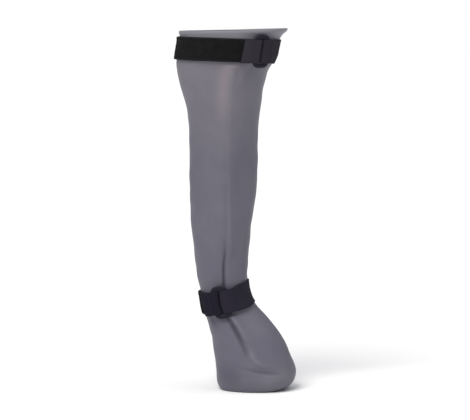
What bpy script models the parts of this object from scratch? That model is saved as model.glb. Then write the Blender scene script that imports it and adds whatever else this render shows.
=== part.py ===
"""Dog protective sock: a tall moulded silicone boot for a dog's front leg, held by two
webbing straps. Each strap is sewn round one bar of a flat ring, runs round the leg,
comes up through the ring and folds back on its own loop tape.

Frame: +Z up, toe towards +X, the rings on the outer side towards -Y.
The origin is on the ground, under the middle of the object's box.
"""

import math

import bmesh
import bpy
import numpy as np
from mathutils import Vector

MM = 0.001

# ---------------------------------------------------------------- the sock's sizes, mm
WALL = 1.6  # silicone wall of shaft and foot
SOLE = 3.0  # thickness underfoot
SOLE_TOP = 8.0  # height where the sole starts to thin towards the wall
WALL_FROM = 34.0  # height from which the wall has its plain thickness

AROUND = 40  # facets round a section
RING_STEP = 17.0  # spacing of the rings along the wall
FINE_STEP = 5.2  # and under the straps, at the ankle and at the collar
FINE_HEIGHTS = ((63.0, 127.0), (331.0, 388.0))

# The sole's edge rolls up over this height, further at the toe than at the heel.
ROLL_HEIGHT = 18.0
TOE_ROLL = 19.0
HEEL_ROLL = 6.0
SIDE_ROLL = 9.5
ROLL_SHARES = (0.0, 0.035, 0.12, 0.27, 0.48, 0.73)

# Level sections from the top of the sole's roll up to the collar. back and front are
# measured along X from the ankle's axis, egg widens the front half and narrows the
# back half, square is 2 for an ellipse, and pitch is the section's rise towards the toe.
SECTION_COLUMNS = ("height", "back", "front", "half_width", "egg", "square", "pitch")
SECTIONS = (
    (18.0, -10.0, 75.8, 37.6, 0.10, 2.30, 0.000),
    (27.0, -10.6, 74.4, 37.4, 0.10, 2.25, 0.000),
    (40.0, -12.2, 69.6, 36.0, 0.09, 2.20, 0.000),
    (52.0, -14.6, 64.4, 33.9, 0.07, 2.15, 0.000),
    (64.0, -17.4, 56.4, 31.4, 0.05, 2.10, 0.000),
    (76.0, -20.7, 46.8, 28.8, 0.02, 2.05, 0.000),
    (89.0, -24.0, 35.2, 26.8, 0.00, 2.00, 0.000),
    (98.0, -25.6, 28.8, 25.9, 0.00, 2.00, 0.000),
    (109.0, -27.6, 24.8, 25.8, 0.00, 2.00, 0.000),
    (126.0, -31.4, 22.9, 26.8, 0.00, 2.00, 0.000),
    (151.0, -35.7, 24.0, 28.4, 0.00, 2.00, 0.000),
    (176.0, -38.5, 26.6, 29.6, 0.00, 2.00, 0.000),
    (201.0, -40.2, 29.2, 30.4, 0.00, 2.00, 0.000),
    (226.0, -41.3, 31.0, 31.0, 0.01, 2.00, 0.000),
    (251.0, -41.9, 31.7, 31.4, 0.02, 2.00, 0.000),
    (276.0, -42.9, 31.9, 31.9, 0.04, 2.00, 0.000),
    (295.0, -44.9, 32.3, 32.7, 0.06, 2.02, 0.000),
    (314.0, -48.6, 34.4, 34.0, 0.08, 2.05, 0.000),
    (332.0, -53.7, 37.4, 35.5, 0.10, 2.08, 0.000),
    (345.0, -56.9, 40.8, 36.6, 0.12, 2.10, 0.000),
    (354.0, -57.8, 46.0, 37.8, 0.13, 2.11, 0.000),
    (361.0, -57.3, 49.0, 38.5, 0.14, 2.12, 0.000),
    (370.0, -56.0, 50.8, 39.0, 0.14, 2.12, 0.004),
    (379.0, -55.0, 53.2, 39.5, 0.14, 2.14, 0.010),
    (387.0, -56.4, 60.6, 40.4, 0.14, 2.14, 0.018),
)
SHAFT_LEAN = 0.020  # forward lean of the shaft over the heel, per unit of height
LEAN_FROM = 97.0

# ---------------------------------------------------------------- the straps' sizes, mm
WEB_WIDTH = 25.0
WEB = 1.2  # thickness of the webbing
TAPE = 1.2  # thickness of the loop tape
HOOK = 1.5  # thickness of the hook tape under the folded end
GAP = 0.3  # clearance between two layers
SEAT = 0.4  # clearance between the webbing and the sock's smooth form
STEPS_ACROSS = 3  # facets across a strap

RING_WIDTH = 20.0  # along the strap
RING_HEIGHT = 37.0  # across the strap
RING_THICK = 3.0
RING_CORNER = 7.5
SLOT_WIDTH = 6.4
SLOT_HEIGHT = 28.0
SLOT_CORNER = 1.6

FOLDED_END = 19.5  # from the ring's middle to the folded end's edge
SEAM_START = 17.0  # the sewn eye closes here, in front of the ring
SEAM_END = 30.0  # and its under layer ends here
SEAM_FADE = 6.0  # over which the upper layer comes down to the sock
FLAT_HALF = 10.5  # the straps lie flat under the ring up to here
FLAT_BLEND = 13.0  # and follow the sock again after this much more

# turn is the ring's place round the sock, in degrees: 0 at the toe, -90 at the outer
# side. rise is the strap's climb towards the toe, sag how far its sides hang lower,
# tape how far the loop tape reaches back from the ring, step the length of a facet.
STRAP_COLUMNS = ("name", "turn", "height", "rise", "sag", "tape", "step")
STRAPS = (
    ("upper", -51.5, 367.3, -0.030, 0.0, 122.0, 4.3),
    ("lower", -102.0, 101.0, 0.230, 2.2, 62.0, 4.2),
)

# name, colour, roughness, metallic
MATERIALS = {
    "silicone": ((0.165, 0.157, 0.185, 1.0), 0.48, 0.0),
    "webbing": ((0.034, 0.032, 0.042, 1.0), 0.85, 0.0),
    "loop_tape": ((0.009, 0.009, 0.010, 1.0), 0.95, 0.0),
    "hook_tape": ((0.012, 0.012, 0.014, 1.0), 0.80, 0.0),
    "ring_plastic": ((0.030, 0.028, 0.040, 1.0), 0.38, 0.0),
}


def smooth(value):
    value = min(max(value, 0.0), 1.0)
    return value * value * (3.0 - 2.0 * value)


# ---------------------------------------------------------------- the sock's form


def all_sections():
    """The sole's roll, worked out from its radii, followed by the table's rows."""
    base = dict(zip(SECTION_COLUMNS, SECTIONS[0]))
    rows = []
    for share in ROLL_SHARES:
        inset = 1.0 - math.sqrt(1.0 - (1.0 - share) ** 2)
        rows.append(
            (
                share * ROLL_HEIGHT,
                base["back"] + HEEL_ROLL * inset,
                base["front"] - TOE_ROLL * inset,
                base["half_width"] - SIDE_ROLL * inset,
                base["egg"],
                base["square"],
                0.0,
            )
        )
    rows.extend(SECTIONS)
    return np.array(rows)


ROWS = all_sections()
KNOTS = np.concatenate(
    [[0.0], np.cumsum(np.linalg.norm(np.diff(ROWS[:, :4], axis=0) * (1.0, 0.6, 0.6, 0.6), axis=1))]
)
LENGTH = float(KNOTS[-1])


def row_slopes():
    """Slope of every column at every row, for a curve that runs smoothly through them."""
    step = np.diff(KNOTS)[:, None]
    rate = np.diff(ROWS, axis=0) / step
    inner = (rate[:-1] * step[1:] + rate[1:] * step[:-1]) / (step[:-1] + step[1:])
    return np.concatenate([rate[:1], inner, rate[-1:]])


SLOPES = row_slopes()


def section_at(way):
    """Every column of the section at this distance along the wall from the sole."""
    way = min(max(way, 0.0), LENGTH)
    k = min(int(np.searchsorted(KNOTS, way, side="right")) - 1, len(KNOTS) - 2)
    step = KNOTS[k + 1] - KNOTS[k]
    s = (way - KNOTS[k]) / step
    values = (
        ROWS[k] * (1 + 2 * s) * (1 - s) ** 2
        + SLOPES[k] * step * s * (1 - s) ** 2
        + ROWS[k + 1] * s * s * (3 - 2 * s)
        + SLOPES[k + 1] * step * s * s * (s - 1)
    )
    return dict(zip(SECTION_COLUMNS, values))


def outer_point(way, turn):
    """Point of the sock's outer face; turn is in radians, 0 at the toe."""
    cut = section_at(way)
    c, s = math.cos(turn), math.sin(turn)
    reach = (abs(c) ** cut["square"] + abs(s) ** cut["square"]) ** (-1.0 / cut["square"])
    half = (cut["front"] - cut["back"]) / 2
    along = reach * c * half
    height = cut["height"]
    lean = SHAFT_LEAN * max(height - LEAN_FROM, 0.0)
    return Vector(
        (
            (cut["front"] + cut["back"]) / 2 + along + lean,
            reach * s * cut["half_width"] * (1 + cut["egg"] * c),
            height + cut["pitch"] * along,
        )
    )


def outer_normal(way, turn):
    if way < 0.2:
        return Vector((0.0, 0.0, -1.0))
    low, high = max(way - 0.5, 0.0), min(way + 0.5, LENGTH)
    around = outer_point(way, turn + 0.02) - outer_point(way, turn - 0.02)
    up = outer_point(high, turn) - outer_point(low, turn)
    return around.cross(up).normalized()


def wall_at(height):
    share = smooth((height - SOLE_TOP) / (WALL_FROM - SOLE_TOP))
    return SOLE + (WALL - SOLE) * share


def way_at(height, turn):
    """Distance along the wall at which the outer face has this height."""
    low, high = 0.0, LENGTH
    for _ in range(40):
        middle = (low + high) / 2
        if outer_point(middle, turn).z < height:
            low = middle
        else:
            high = middle
    return (low + high) / 2


def ring_ways():
    ways = [0.0]
    for k in range(len(KNOTS) - 1):
        fine = any(low < ROWS[k, 0] and ROWS[k + 1, 0] < high for low, high in FINE_HEIGHTS)
        step = FINE_STEP if fine else RING_STEP
        count = max(1, round((KNOTS[k + 1] - KNOTS[k]) / step))
        ways.extend(KNOTS[k] + (KNOTS[k + 1] - KNOTS[k]) * (i + 1) / count for i in range(count))
    return ways


def make_sock():
    """One hollow solid, moulded whole: outer face, inner face and the collar's rim."""
    mesh = bmesh.new()
    turns = [2 * math.pi * i / AROUND for i in range(AROUND)]
    outer, inner = [], []
    for way in ring_ways():
        outside, inside = [], []
        for turn in turns:
            point = outer_point(way, turn)
            outside.append(mesh.verts.new(point * MM))
            inside.append(
                mesh.verts.new((point - outer_normal(way, turn) * wall_at(point.z)) * MM)
            )
        outer.append(outside)
        inner.append(inside)

    def skin(rings):
        for low, high in zip(rings, rings[1:]):
            for i in range(AROUND):
                j = (i + 1) % AROUND
                mesh.faces.new((low[i], low[j], high[j], high[i]))

    def bottom(ring):
        middle = mesh.verts.new(sum((v.co for v in ring), Vector()) / AROUND)
        for i in range(AROUND):
            mesh.faces.new((ring[(i + 1) % AROUND], ring[i], middle))

    skin(outer)
    skin(inner)
    bottom(outer[0])
    bottom(inner[0])
    for i in range(AROUND):
        j = (i + 1) % AROUND
        mesh.faces.new((outer[-1][i], outer[-1][j], inner[-1][j], inner[-1][i]))
    return mesh


# ---------------------------------------------------------------- the straps' place


class StrapPath:
    """Maps a strap's own directions to space: u along it from the ring's middle towards
    the toe, v across it upwards, h out from the sock's face."""

    SAMPLES = 720

    def __init__(self, row):
        for name, value in zip(STRAP_COLUMNS, row):
            setattr(self, name, value)
        self.start = math.radians(self.turn)
        turns = np.linspace(0.0, 2 * math.pi, self.SAMPLES + 1) + self.start
        points = np.array([self.on_sock(t, self.centre_height(t)) for t in turns])
        steps = np.linalg.norm(np.diff(points, axis=0), axis=1)
        self.turns = turns - self.start
        self.lengths = np.concatenate([[0.0], np.cumsum(steps)])
        self.length = float(self.lengths[-1])
        self.set_flat()

    def centre_height(self, turn):
        cut = section_at(way_at(self.height, turn))
        half = (cut["front"] - cut["back"]) / 2
        return self.height + self.rise * half * math.cos(turn) - self.sag * math.sin(turn) ** 2

    def on_sock(self, turn, height):
        return outer_point(way_at(height, turn), turn)

    def turn_at(self, u):
        return self.start + float(np.interp(u % self.length, self.lengths, self.turns))

    def sock_frame(self, u, v):
        """The sock's point under (u, v) and its outward normal there."""
        turn = self.turn_at(u)
        ahead, behind = self.turn_at(u + 0.5), self.turn_at(u - 0.5)
        if ahead < behind:
            ahead += 2 * math.pi
        climb = self.centre_height(ahead) - self.centre_height(behind)
        height = self.centre_height(turn) + v * math.sqrt(1 - climb * climb)
        turn = self.turn_at(u - v * climb)
        way = way_at(height, turn)
        return outer_point(way, turn), outer_normal(way, turn)

    def set_flat(self):
        """The plane of the ring, lifted until the sock stays behind it."""
        centre, normal = self.sock_frame(0.0, 0.0)
        along = self.sock_frame(1.0, 0.0)[0] - self.sock_frame(-1.0, 0.0)[0]
        self.along = (along - normal * along.dot(normal)).normalized()
        self.across = normal.cross(self.along).normalized()
        self.normal = normal
        reach = WEB_WIDTH / 2
        lift = max(
            (self.sock_frame(u, v)[0] - centre).dot(normal)
            for u in np.linspace(-FLAT_HALF, FLAT_HALF, 7)
            for v in np.linspace(-reach, reach, 7)
        )
        self.centre = centre + normal * max(lift, 0.0)

    def stops(self, start, end):
        """Places along the strap from start back to end, the same ones for every layer."""
        marks, u = [], -FLAT_HALF
        while u > end + 0.8:
            if u < start - 0.8:
                marks.append(u)
            u -= FLAT_BLEND / 6 if u > -FLAT_HALF - FLAT_BLEND + 0.1 else self.step
        return [start] + marks + [end]

    def flat(self, u, v, h):
        return self.centre + self.along * u + self.across * v + self.normal * h

    def place(self, u, v, h):
        near = (u + self.length / 2) % self.length - self.length / 2
        share = smooth((abs(near) - FLAT_HALF) / FLAT_BLEND)
        if share <= 0.0:
            return self.flat(near, v, h)
        point, normal = self.sock_frame(near, v)
        if share < 1.0:
            point = self.flat(near, v, 0.0).lerp(point, share)
            normal = self.normal.lerp(normal, share).normalized()
        return point + normal * h


# heights of the layers over the sock's face, under and over the ring's bars
BAND_LOW = SEAT
BAND_HIGH = BAND_LOW + WEB
BAR_LOW = BAND_HIGH + GAP
BAR_MID = BAR_LOW + RING_THICK / 2
BAR_HIGH = BAR_LOW + RING_THICK
FOLD_LOW = BAR_HIGH + GAP
FOLD_HIGH = FOLD_LOW + WEB
TAPE_LOW = BAND_HIGH + GAP
TAPE_HIGH = TAPE_LOW + TAPE
HOOK_LOW = TAPE_HIGH + GAP
HOOK_HIGH = HOOK_LOW + HOOK
BEND = SLOT_WIDTH / 2 + RING_THICK / 2  # middle of a bar's rounded edge
INSIDE = RING_THICK / 2 + GAP
OUTSIDE = INSIDE + WEB


def strap_profile(path):
    """Points (u, h) of the strap's long section, its outline, its eye and its cap faces."""
    points, caps = [], []

    def add(u, h):
        points.append((u, h))
        return len(points) - 1

    rungs = []

    def rung(low, high):
        rungs.append((add(*low), add(*high)))

    # the folded end, on top of the ring's rear bar
    for u in reversed(path.stops(-FLAT_HALF, -FOLDED_END)):
        rung((u, FOLD_LOW), (u, FOLD_HIGH))
    # down through the slot, round the rear bar
    for degrees in range(90, -91, -30):
        c, s = math.cos(math.radians(degrees)), math.sin(math.radians(degrees))
        rung(
            (-BEND + INSIDE * c, BAR_MID + INSIDE * s),
            (-BEND + OUTSIDE * c, BAR_MID + OUTSIDE * s),
        )
    # round the leg, heelwards, to the front of the ring
    for u in path.stops(-FLAT_HALF, SEAM_END + SEAM_FADE - path.length):
        rung((u, BAND_HIGH), (u, BAND_LOW))
    front = -path.length
    for u, high, low in (
        (SEAM_END + 0.4, BAND_HIGH + WEB, BAND_HIGH),
        (SEAM_END - 0.4, BAND_HIGH + WEB, BAND_LOW),
        ((SEAM_END + SEAM_START) / 2, BAND_HIGH + WEB, BAND_LOW),
        (SEAM_START, BAND_HIGH + WEB, BAND_LOW),
    ):
        rung((front + u, high), (front + u, low))
    for (a, b), (c, d) in zip(rungs, rungs[1:]):
        caps.append((a, b, d, c))
    # the sewn eye round the front bar
    tip = add(front + SEAM_START - 0.6, BAND_HIGH)
    over = SLOT_WIDTH / 2 + 6.0
    outside, inside = [rungs[-1][0]], [tip]

    def eye(out, into):
        outside.append(add(front + out[0], out[1]))
        inside.append(add(front + into[0], into[1]))

    eye((over + 3.6, (BAND_HIGH + WEB + FOLD_HIGH) / 2 + 0.5), (over + 3.0, (BAND_HIGH + FOLD_LOW) / 2 + 0.5))
    eye((over, FOLD_HIGH), (over, FOLD_LOW))
    for degrees in range(90, 271, 30):
        c, s = math.cos(math.radians(degrees)), math.sin(math.radians(degrees))
        eye((BEND + OUTSIDE * c, BAR_MID + OUTSIDE * s), (BEND + INSIDE * c, BAR_MID + INSIDE * s))
    eye((over, BAND_LOW), (over, BAND_HIGH))
    for i in range(len(outside) - 1):
        caps.append((outside[i], outside[i + 1], inside[i + 1], inside[i]))
    caps.append((outside[-1], rungs[-1][1], tip, inside[-1]))
    caps.append((rungs[-1][0], tip, rungs[-1][1]))
    outline = [a for a, _ in rungs] + outside[1:] + [b for _, b in reversed(rungs)]
    return points, [outline, inside], caps


def slab_profile(path, start, end, low, high):
    """A plain layer between two heights, from start to end along the strap."""
    stops = path.stops(start, end)
    count = len(stops) - 1
    points = [(u, low) for u in stops] + [(u, high) for u in stops]
    over = count + 1
    caps = [(i, i + 1, over + i + 1, over + i) for i in range(count)]
    outline = list(range(count + 1)) + list(range(2 * count + 1, count, -1))
    return points, [outline], caps


def extrude_profile(path, profile, width):
    """Sweeps a long section across the strap, bent round the sock with it."""
    points, loops, caps = profile
    mesh = bmesh.new()
    rows = []
    for j in range(STEPS_ACROSS + 1):
        v = width * (j / STEPS_ACROSS - 0.5)
        rows.append([mesh.verts.new(path.place(u, v, h) * MM) for u, h in points])
    for loop in loops:
        for a, b in zip(loop, loop[1:] + loop[:1]):
            for low, high in zip(rows, rows[1:]):
                mesh.faces.new((low[a], low[b], high[b], high[a]))
    for cap in caps:
        mesh.faces.new([rows[0][i] for i in cap])
        mesh.faces.new([rows[-1][i] for i in reversed(cap)])
    return mesh


def rounded_box(width, height, corner, per_corner, per_side):
    """Points round a rectangle with round corners, the same count for any size."""
    points = []
    centres = [
        (width / 2 - corner, height / 2 - corner, 0),
        (corner - width / 2, height / 2 - corner, 90),
        (corner - width / 2, corner - height / 2, 180),
        (width / 2 - corner, corner - height / 2, 270),
    ]
    for k, (x, y, first) in enumerate(centres):
        arc = []
        for i in range(per_corner + 1):
            angle = math.radians(first + 90 * i / per_corner)
            arc.append((x + corner * math.cos(angle), y + corner * math.sin(angle)))
        if points:
            points.extend(between(points[-1], arc[0], per_side[k % 2]))
        points.extend(arc)
    points.extend(between(points[-1], points[0], per_side[0]))
    return points


def between(a, b, count):
    return [
        (a[0] + (b[0] - a[0]) * i / count, a[1] + (b[1] - a[1]) * i / count)
        for i in range(1, count)
    ]


def make_ring(path):
    """A flat moulded ring with rounded bars and a slot for the webbing."""
    mesh = bmesh.new()
    outer = rounded_box(RING_WIDTH, RING_HEIGHT, RING_CORNER, 5, (3, 2))
    inner = rounded_box(SLOT_WIDTH, SLOT_HEIGHT, SLOT_CORNER, 5, (3, 2))
    half_thick = RING_THICK / 2
    loops = []
    for (ox, oy), (ix, iy) in zip(outer, inner):
        loop = []
        bar = math.hypot(ox - ix, oy - iy)
        for side in (1, -1):
            for degrees in (-80, -40, 0, 40, 80):
                # round edges of half the bar's thickness, flat between them
                edge = half_thick * (1 - math.cos(math.radians(degrees)))
                share = edge / bar if side < 0 else 1 - edge / bar
                rise = side * half_thick * math.sin(math.radians(degrees))
                place = path.flat(ix + (ox - ix) * share, iy + (oy - iy) * share, BAR_MID + rise)
                loop.append(mesh.verts.new(place * MM))
        loops.append(loop)
    for this, after in zip(loops, loops[1:] + loops[:1]):
        for k in range(len(this)):
            m = (k + 1) % len(this)
            mesh.faces.new((this[k], this[m], after[m], after[k]))
    return mesh


# ---------------------------------------------------------------- building


def clear_scene():
    for item in list(bpy.data.objects):
        bpy.data.objects.remove(item, do_unlink=True)


def material(name):
    made = bpy.data.materials.get(name)
    if made is None:
        colour, roughness, metallic = MATERIALS[name]
        made = bpy.data.materials.new(name)
        made.use_nodes = True
        made.diffuse_color = colour
        shader = made.node_tree.nodes["Principled BSDF"]
        shader.inputs["Base Color"].default_value = colour
        shader.inputs["Roughness"].default_value = roughness
        shader.inputs["Metallic"].default_value = metallic
    return made


def add_object(name, mesh, material_name, parent, flat_under=None):
    bmesh.ops.triangulate(mesh, faces=[f for f in mesh.faces if len(f.verts) > 3])
    bmesh.ops.recalc_face_normals(mesh, faces=mesh.faces)
    data = bpy.data.meshes.new(name)
    mesh.to_mesh(data)
    mesh.free()
    data.shade_smooth()
    data.set_sharp_from_angle(angle=math.radians(35))
    data.materials.append(material(material_name))
    made = bpy.data.objects.new(name, data)
    bpy.context.scene.collection.objects.link(made)
    made.parent = parent
    return made


def main():
    clear_scene()
    frame = bpy.data.objects.new("frame", None)
    bpy.context.scene.collection.objects.link(frame)
    made = [add_object("sock", make_sock(), "silicone", frame)]
    half = RING_WIDTH / 2
    for row in STRAPS:
        path = StrapPath(row)
        layers = (
            ("strap", strap_profile(path), WEB_WIDTH, "webbing"),
            ("loop_tape", slab_profile(path, -half - 1.6, -path.tape, TAPE_LOW, TAPE_HIGH), WEB_WIDTH - 0.6, "loop_tape"),
            ("hook_tape", slab_profile(path, -half - 1.6, 0.8 - FOLDED_END, HOOK_LOW, HOOK_HIGH), WEB_WIDTH - 0.6, "hook_tape"),
        )
        for name, profile, width, surface in layers:
            mesh = extrude_profile(path, profile, width)
            made.append(add_object(path.name + "_" + name, mesh, surface, frame))
        made.append(add_object(path.name + "_ring", make_ring(path), "ring_plastic", frame))

    # the origin goes under the middle of the object's box
    corners = [v.co for item in made for v in item.data.vertices]
    low = [min(c[k] for c in corners) for k in range(3)]
    high = [max(c[k] for c in corners) for k in range(3)]
    frame.location = (-(low[0] + high[0]) / 2, -(low[1] + high[1]) / 2, -low[2])
    bpy.context.view_layer.update()


main()
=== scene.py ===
"""Dog protective sock: a moulded silicone leg cover with two folded-back webbing straps.

The sock's form and the straps' runs repeat the sizes that the solid model was built from,
in millimetres. The finer skin with its folds, the webbing, the looped pile, the hook
tapes, the rings and the stitches are made here, in the frame of the solid model.
"""

import math

import bmesh
import bpy
import numpy as np
from bpy.props import FloatProperty, FloatVectorProperty, IntProperty, PointerProperty
from mathutils import Matrix, Vector


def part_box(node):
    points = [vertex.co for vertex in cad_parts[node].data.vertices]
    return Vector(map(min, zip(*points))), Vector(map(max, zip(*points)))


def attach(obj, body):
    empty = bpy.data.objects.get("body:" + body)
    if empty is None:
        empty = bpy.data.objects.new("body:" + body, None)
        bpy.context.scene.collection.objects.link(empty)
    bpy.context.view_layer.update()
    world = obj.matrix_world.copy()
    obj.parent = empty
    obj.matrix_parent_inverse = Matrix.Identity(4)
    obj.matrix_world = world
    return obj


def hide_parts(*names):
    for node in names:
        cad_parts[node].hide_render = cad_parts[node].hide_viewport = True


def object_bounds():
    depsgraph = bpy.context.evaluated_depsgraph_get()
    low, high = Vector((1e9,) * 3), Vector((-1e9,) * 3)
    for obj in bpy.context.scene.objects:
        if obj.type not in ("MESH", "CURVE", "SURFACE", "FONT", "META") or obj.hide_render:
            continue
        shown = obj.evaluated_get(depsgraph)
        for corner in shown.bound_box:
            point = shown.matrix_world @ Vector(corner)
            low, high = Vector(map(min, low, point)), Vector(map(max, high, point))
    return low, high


bl_info = {
    "name": "Dog Protective Sock",
    "version": (1, 0, 0),
    "blender": (4, 5, 0),
    "location": "3D Viewport > Sidebar > Dog Sock",
    "description": "Makes a silicone leg cover for a dog with webbing straps and rings",
    "category": "Add Mesh",
}

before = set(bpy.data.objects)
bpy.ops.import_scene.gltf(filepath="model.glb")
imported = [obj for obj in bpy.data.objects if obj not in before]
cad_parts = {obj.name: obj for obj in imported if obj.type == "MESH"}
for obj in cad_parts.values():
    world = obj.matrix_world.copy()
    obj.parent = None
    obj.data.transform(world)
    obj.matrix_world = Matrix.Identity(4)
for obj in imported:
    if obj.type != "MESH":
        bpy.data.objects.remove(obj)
CAD_BOX = [list(corner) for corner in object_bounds()]

MM = 0.001
FULL_TURN = 2 * math.pi
SOCK_LOW, SOCK_HIGH = (np.array(corner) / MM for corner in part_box("sock"))

# ------------------------------------------------------------------ the form, in mm

# The wall: SOLE thick up to SOLE_TOP, thinning to WALL at WALL_FROM.
WALL = 1.6
SOLE = 3.0
SOLE_TOP = 8.0
WALL_FROM = 34.0
# The roll under the foot: how high it is, how far it draws the outline in at the toe, the
# heel and the sides, and the shares of its height at which it has a section.
ROLL_HEIGHT = 18.0
TOE_ROLL = 19.0
HEEL_ROLL = 6.0
SIDE_ROLL = 9.5
ROLL_SHARES = (0.0, 0.035, 0.12, 0.27, 0.48, 0.73)
# Level sections above the roll. back and front are the reach from the ankle's axis, egg
# makes the toe side wider than the heel side, square is the outline's exponent, 2 for an
# ellipse, and pitch is the slope at which the section rises towards the toe side.
SECTION_COLUMNS = ("height", "back", "front", "half_width", "egg", "square", "pitch")
SECTIONS = (
    (18.0, -10.0, 75.8, 37.6, 0.10, 2.30, 0.000),
    (27.0, -10.6, 74.4, 37.4, 0.10, 2.25, 0.000),
    (40.0, -12.2, 69.6, 36.0, 0.09, 2.20, 0.000),
    (52.0, -14.6, 64.4, 33.9, 0.07, 2.15, 0.000),
    (64.0, -17.4, 56.4, 31.4, 0.05, 2.10, 0.000),
    (76.0, -20.7, 46.8, 28.8, 0.02, 2.05, 0.000),
    (89.0, -24.0, 35.2, 26.8, 0.00, 2.00, 0.000),
    (98.0, -25.6, 28.8, 25.9, 0.00, 2.00, 0.000),
    (109.0, -27.6, 24.8, 25.8, 0.00, 2.00, 0.000),
    (126.0, -31.4, 22.9, 26.8, 0.00, 2.00, 0.000),
    (151.0, -35.7, 24.0, 28.4, 0.00, 2.00, 0.000),
    (176.0, -38.5, 26.6, 29.6, 0.00, 2.00, 0.000),
    (201.0, -40.2, 29.2, 30.4, 0.00, 2.00, 0.000),
    (226.0, -41.3, 31.0, 31.0, 0.01, 2.00, 0.000),
    (251.0, -41.9, 31.7, 31.4, 0.02, 2.00, 0.000),
    (276.0, -42.9, 31.9, 31.9, 0.04, 2.00, 0.000),
    (295.0, -44.9, 32.3, 32.7, 0.06, 2.02, 0.000),
    (314.0, -48.6, 34.4, 34.0, 0.08, 2.05, 0.000),
    (332.0, -53.7, 37.4, 35.5, 0.10, 2.08, 0.000),
    (345.0, -56.9, 40.8, 36.6, 0.12, 2.10, 0.000),
    (354.0, -57.8, 46.0, 37.8, 0.13, 2.11, 0.000),
    (361.0, -57.3, 49.0, 38.5, 0.14, 2.12, 0.000),
    (370.0, -56.0, 50.8, 39.0, 0.14, 2.12, 0.004),
    (379.0, -55.0, 53.2, 39.5, 0.14, 2.14, 0.010),
    (387.0, -56.4, 60.6, 40.4, 0.14, 2.14, 0.018),
)
# How much the first four columns count in the distance between two sections.
SECTION_WEIGHTS = (1.0, 0.6, 0.6, 0.6)
# The shaft leans forward by this slope above the ankle.
SHAFT_LEAN = 0.020
LEAN_FROM = 97.0

# Webbing, tapes and rings. SEAT is the room under a band, GAP the room between layers.
WEB_WIDTH = 25.0
WEB = 1.2
TAPE = 1.2
HOOK = 1.5
GAP = 0.3
SEAT = 0.4
RING_WIDTH = 20.0
RING_HEIGHT = 35.4
RING_THICK = 3.0
RING_CORNER = 7.5
SLOT_WIDTH = 6.4
SLOT_HEIGHT = 25.9
SLOT_CORNER = 1.6
# Places along a strap, from the ring's middle: the folded end behind it, and the sewn
# seam in front of it, which fades into the strap over SEAM_FADE.
FOLDED_END = 19.5
SEAM_START = 17.0
SEAM_END = 30.0
SEAM_FADE = 6.0
# The strap runs flat at the ring, and bends round the sock from FLAT_HALF outwards.
FLAT_HALF = 10.5
FLAT_BLEND = 13.0
# turn is the ring's place round the sock in degrees, rise is the strap's slope up towards
# the toe, sag is how far it hangs at both sides, and tape is how far behind the ring's
# middle the loop tape ends.
STRAP_COLUMNS = ("name", "turn", "height", "rise", "sag", "tape")
STRAPS = (
    ("upper", -51.5, 367.3, -0.030, 0.0, 122.0),
    ("lower", -102.0, 101.0, 0.230, 2.2, 62.0),
)

# Heights over the sock's face: the band on it, then the ring's bar or the loop tape, then
# the hook tape and the folded end.
BAND_LOW = SEAT
BAND_HIGH = BAND_LOW + WEB
BAR_LOW = BAND_HIGH + GAP
BAR_MID = BAR_LOW + RING_THICK / 2
FOLD_LOW = BAR_LOW + RING_THICK + GAP
TAPE_LOW = BAND_HIGH + GAP
HOOK_LOW = TAPE_LOW + TAPE + GAP
# The folds turn about the middles of the ring's bars, this far from its own middle.
BAR_PLACE = SLOT_WIDTH / 2 + RING_THICK / 2
FOLD_RADIUS = RING_THICK / 2 + GAP + WEB / 2
# How far the webbing's folds bulge behind the slot and in front of it, and how far the
# gap between them runs askew and bows from the strap's lower edge to its upper one.
FOLD_BULGE = {"upper": (1.45, 1.45), "lower": (1.6, 1.3)}
FOLD_SKEW = {"upper": 1.3, "lower": 0.0}
FOLD_BOW = {"upper": 0.0, "lower": -1.6}

# ------------------------------------------------------------------ the folds

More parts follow.
